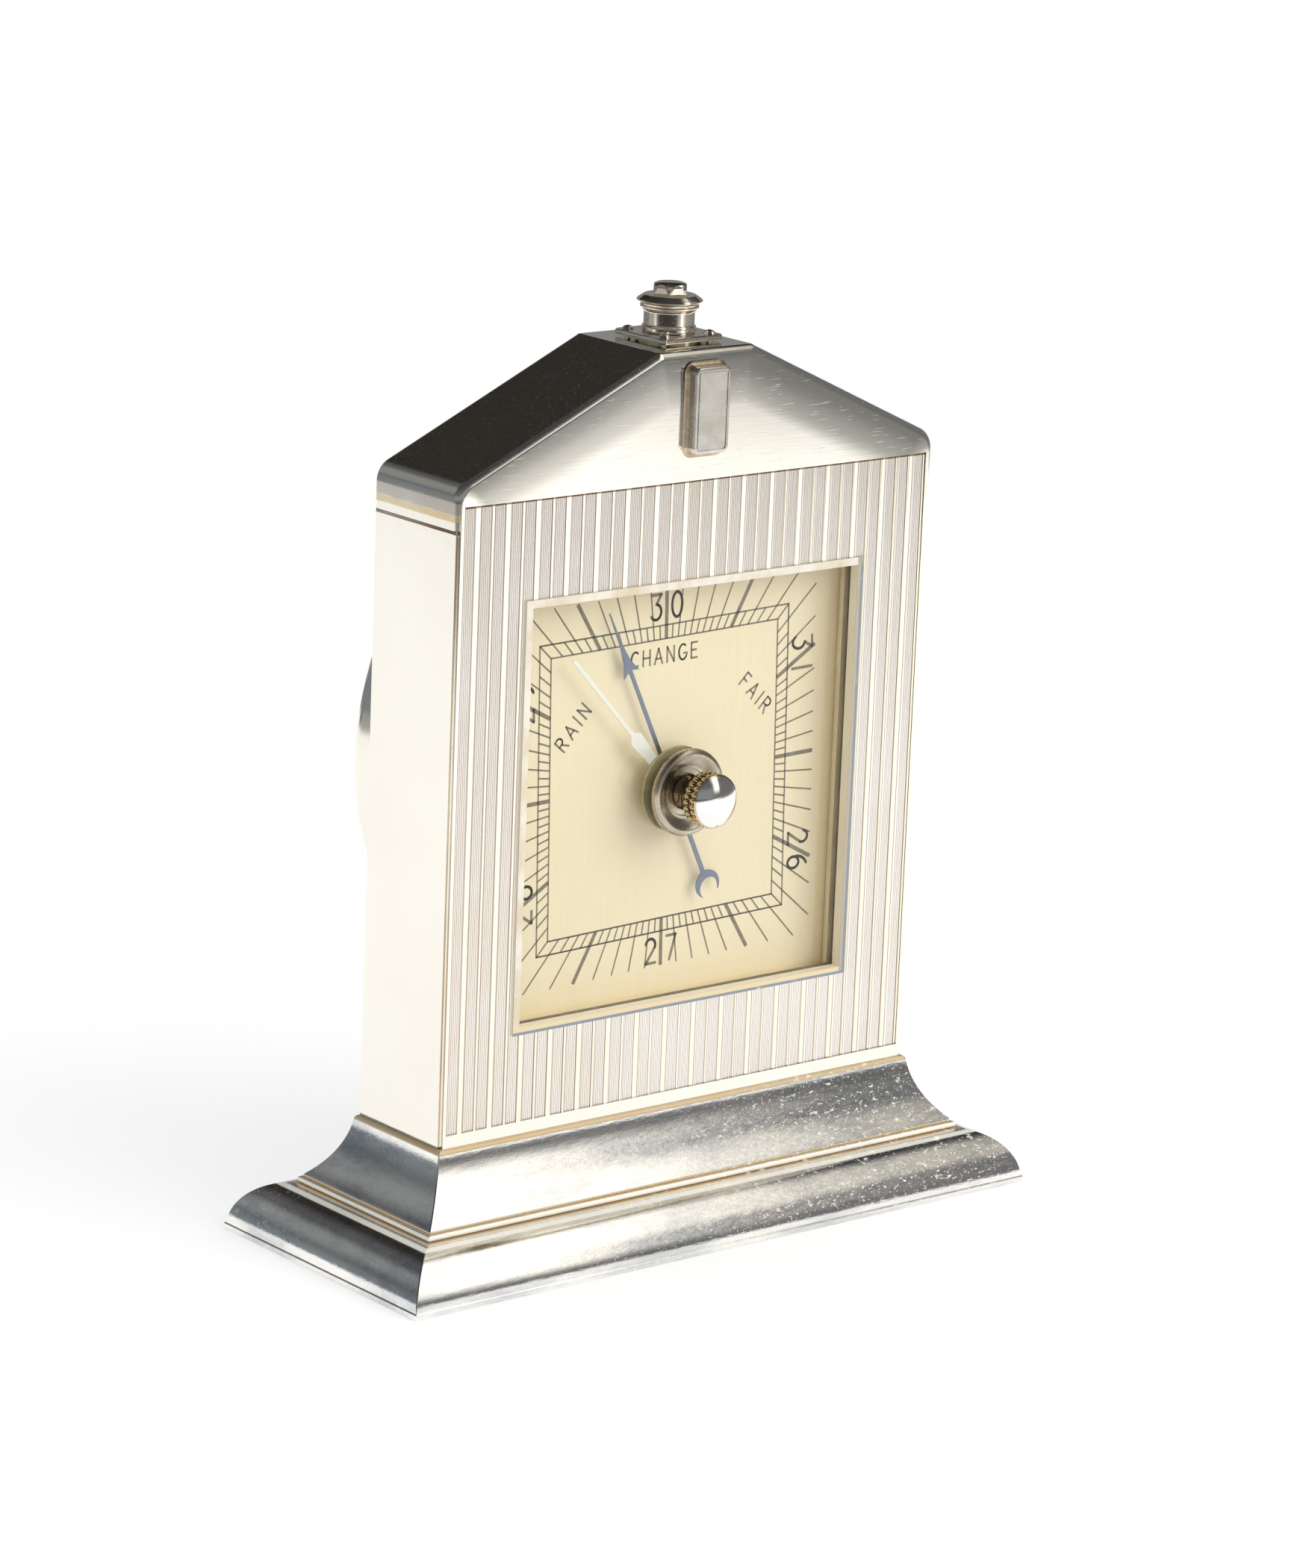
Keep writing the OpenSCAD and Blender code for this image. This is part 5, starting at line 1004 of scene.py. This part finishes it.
# shades that polished metal sees, and along each direction from where to where one sets in, or fades at its End or Top
roomLook = dict(plain=0.92, horizon=(0.24, 0.24, 0.245), upper=(0.12, 0.122, 0.13), upperUp=(0.27, 0.42),
                top=(0.05, 0.05, 0.055), topUp=(0.4, 0.9),
                back=(0.024, 0.021, 0.019), backBack=(0.1, 0.5), backUp=(0.30, 0.46), backAcross=(-0.16, 0.1),
                left=(0.185, 0.21, 0.23), leftBack=(0.3, 0.6), leftEnd=(-0.32, -0.12),
                leftHigh=(0.07, 0.074, 0.08), leftHighUp=(0.08, 0.34),
                shoulder=(0.23, 0.24, 0.25), shoulderUp=(0.15, 0.3), shoulderAcross=(-0.66, -0.5),
                shoulderTop=(0.5, 0.62), frontEnd=(-0.2, 0.1),
                frontLow=(0.15, 0.15, 0.15), frontLowAcross=(0.2, 0.5), frontLowTop=(0.3, 0.5),
                panel=(1.55, 1.50, 1.40), panelFar=(0.40, 0.38, 0.34), panelFarAcross=(0.597, 0.628),
                panelTop=(0.80, 0.92), panelEnd=(-0.05, 0.25), panelAcross=(0.2, 0.6), panelUp=(0.44, 0.64),
                lowerEnd=(0.590, 0.607), lowerAcross=(0.3, 0.45), lowerUp=(0.06, 0.32))


def makeWorld(r):
    # a dim room with a grey left side and a tall bright panel at the front right
    world = bpy.data.worlds.new("studio")
    bpy.context.scene.world = world
    wire = bareTree(world)
    way = wire.add("TexCoord", out=0)
    across, back, up = (way.axis(i) for i in range(3))
    front, panelTop = 1 - back.above(*r["frontEnd"]), 1 - up.above(*r["panelTop"])
    room = up.above(*r["upperUp"]).mix(r["horizon"], r["upper"])
    room = up.above(*r["topUp"]).mix(room, r["top"])
    behind = back.above(*r["backBack"]) * up.above(*r["backUp"]) * across.above(*r["backAcross"])
    room = behind.mix(room, r["back"])
    left = up.above(*r["leftHighUp"]).mix(r["left"], r["leftHigh"])
    shoulder = up.above(*r["shoulderUp"]) * across.above(*r["shoulderAcross"]) * (1 - up.above(*r["shoulderTop"]))
    left = shoulder.mix(left, r["shoulder"])
    room = (back.above(*r["leftBack"]) * (1 - across.above(*r["leftEnd"]))).mix(room, left)
    frontLow = front * across.above(*r["frontLowAcross"]) * (1 - up.above(*r["frontLowTop"]))
    room = frontLow.mix(room, r["frontLow"])
    panel = across.above(*r["panelFarAcross"]).mix(r["panel"], r["panelFar"])
    upper = (1 - back.above(*r["panelEnd"])) * across.above(*r["panelAcross"]) * up.above(*r["panelUp"])
    room = (upper * panelTop).mix(room, panel)
    lower = (1 - across.above(*r["lowerEnd"])) * across.above(*r["lowerAcross"]) * up.above(*r["lowerUp"])
    room = (front * lower * panelTop).mix(room, r["panel"])

    def sky(colour):
        return wire.add("Background", None, {"Color": colour, "Strength": 1.0})

    camera, glossy, through = (wire.add("LightPath", out=i) for i in (0, 3, 6))
    seen = blended(glossy, sky((r["plain"],) * 3), sky(room))
    closeTree(blended(camera.most(through), seen, sky((1, 1, 1))), "World")


keyLamp = dict(azimuth=26, elevation=36, distance=0.80, side=0.70, radiance=2.75, tint=(1.0, 0.985, 0.95),
               aim=(0, 0, 0.06))


def softbox(name, k):
    # azimuth is measured from the front towards the right
    lamp = bpy.data.lights.new(name, "AREA")
    lamp.shape = "RECTANGLE"
    lamp.size = lamp.size_y = k["side"]
    lamp.energy = k["radiance"] * math.pi * k["side"] ** 2
    lamp.color = k["tint"]
    made = inScene(name, lamp)
    a, e = math.radians(k["azimuth"]), math.radians(k["elevation"])
    aim = Vector(k["aim"])
    spot = aim + k["distance"] * Vector((math.sin(a) * math.cos(e), -math.cos(a) * math.cos(e), math.sin(e)))
    made.matrix_world = Matrix.Translation(spot) @ (aim - spot).to_track_quat("-Z", "Y").to_matrix().to_4x4()
    made.visible_glossy = False


makeFloor(floorLook)
makeWorld(roomLook)
softbox("keyBox", keyLamp)
print("stage made")

cameraSize = dict(spot=(-399.04, -487.74, 213.51), yaw=-0.6863, pitch=-0.2508, roll=-0.0397, focal=7407.81,
                  frameHeight=2100, sensor=36)


def makeCamera(c):
    lens = bpy.data.cameras.new("photoCamera")
    lens.sensor_width = c["sensor"]
    lens.lens = c["focal"] / c["frameHeight"] * c["sensor"]
    lens.clip_start = 0.01
    made = inScene("photoCamera", lens)
    yaw, pitch, roll = (Matrix.Rotation(c[key], 3, axis) for key, axis in (("yaw", "Z"), ("pitch", "X"), ("roll", "Y")))
    right, forward, up = (yaw @ pitch @ roll).col
    spot = [distance * mm for distance in c["spot"]]
    made.matrix_world = Matrix([(right[i], up[i], -forward[i], spot[i]) for i in range(3)] + [(0, 0, 0, 1)])
    bpy.context.scene.camera = made


makeCamera(cameraSize)
bpy.context.scene.view_settings.view_transform = "Standard"
print("camera made")
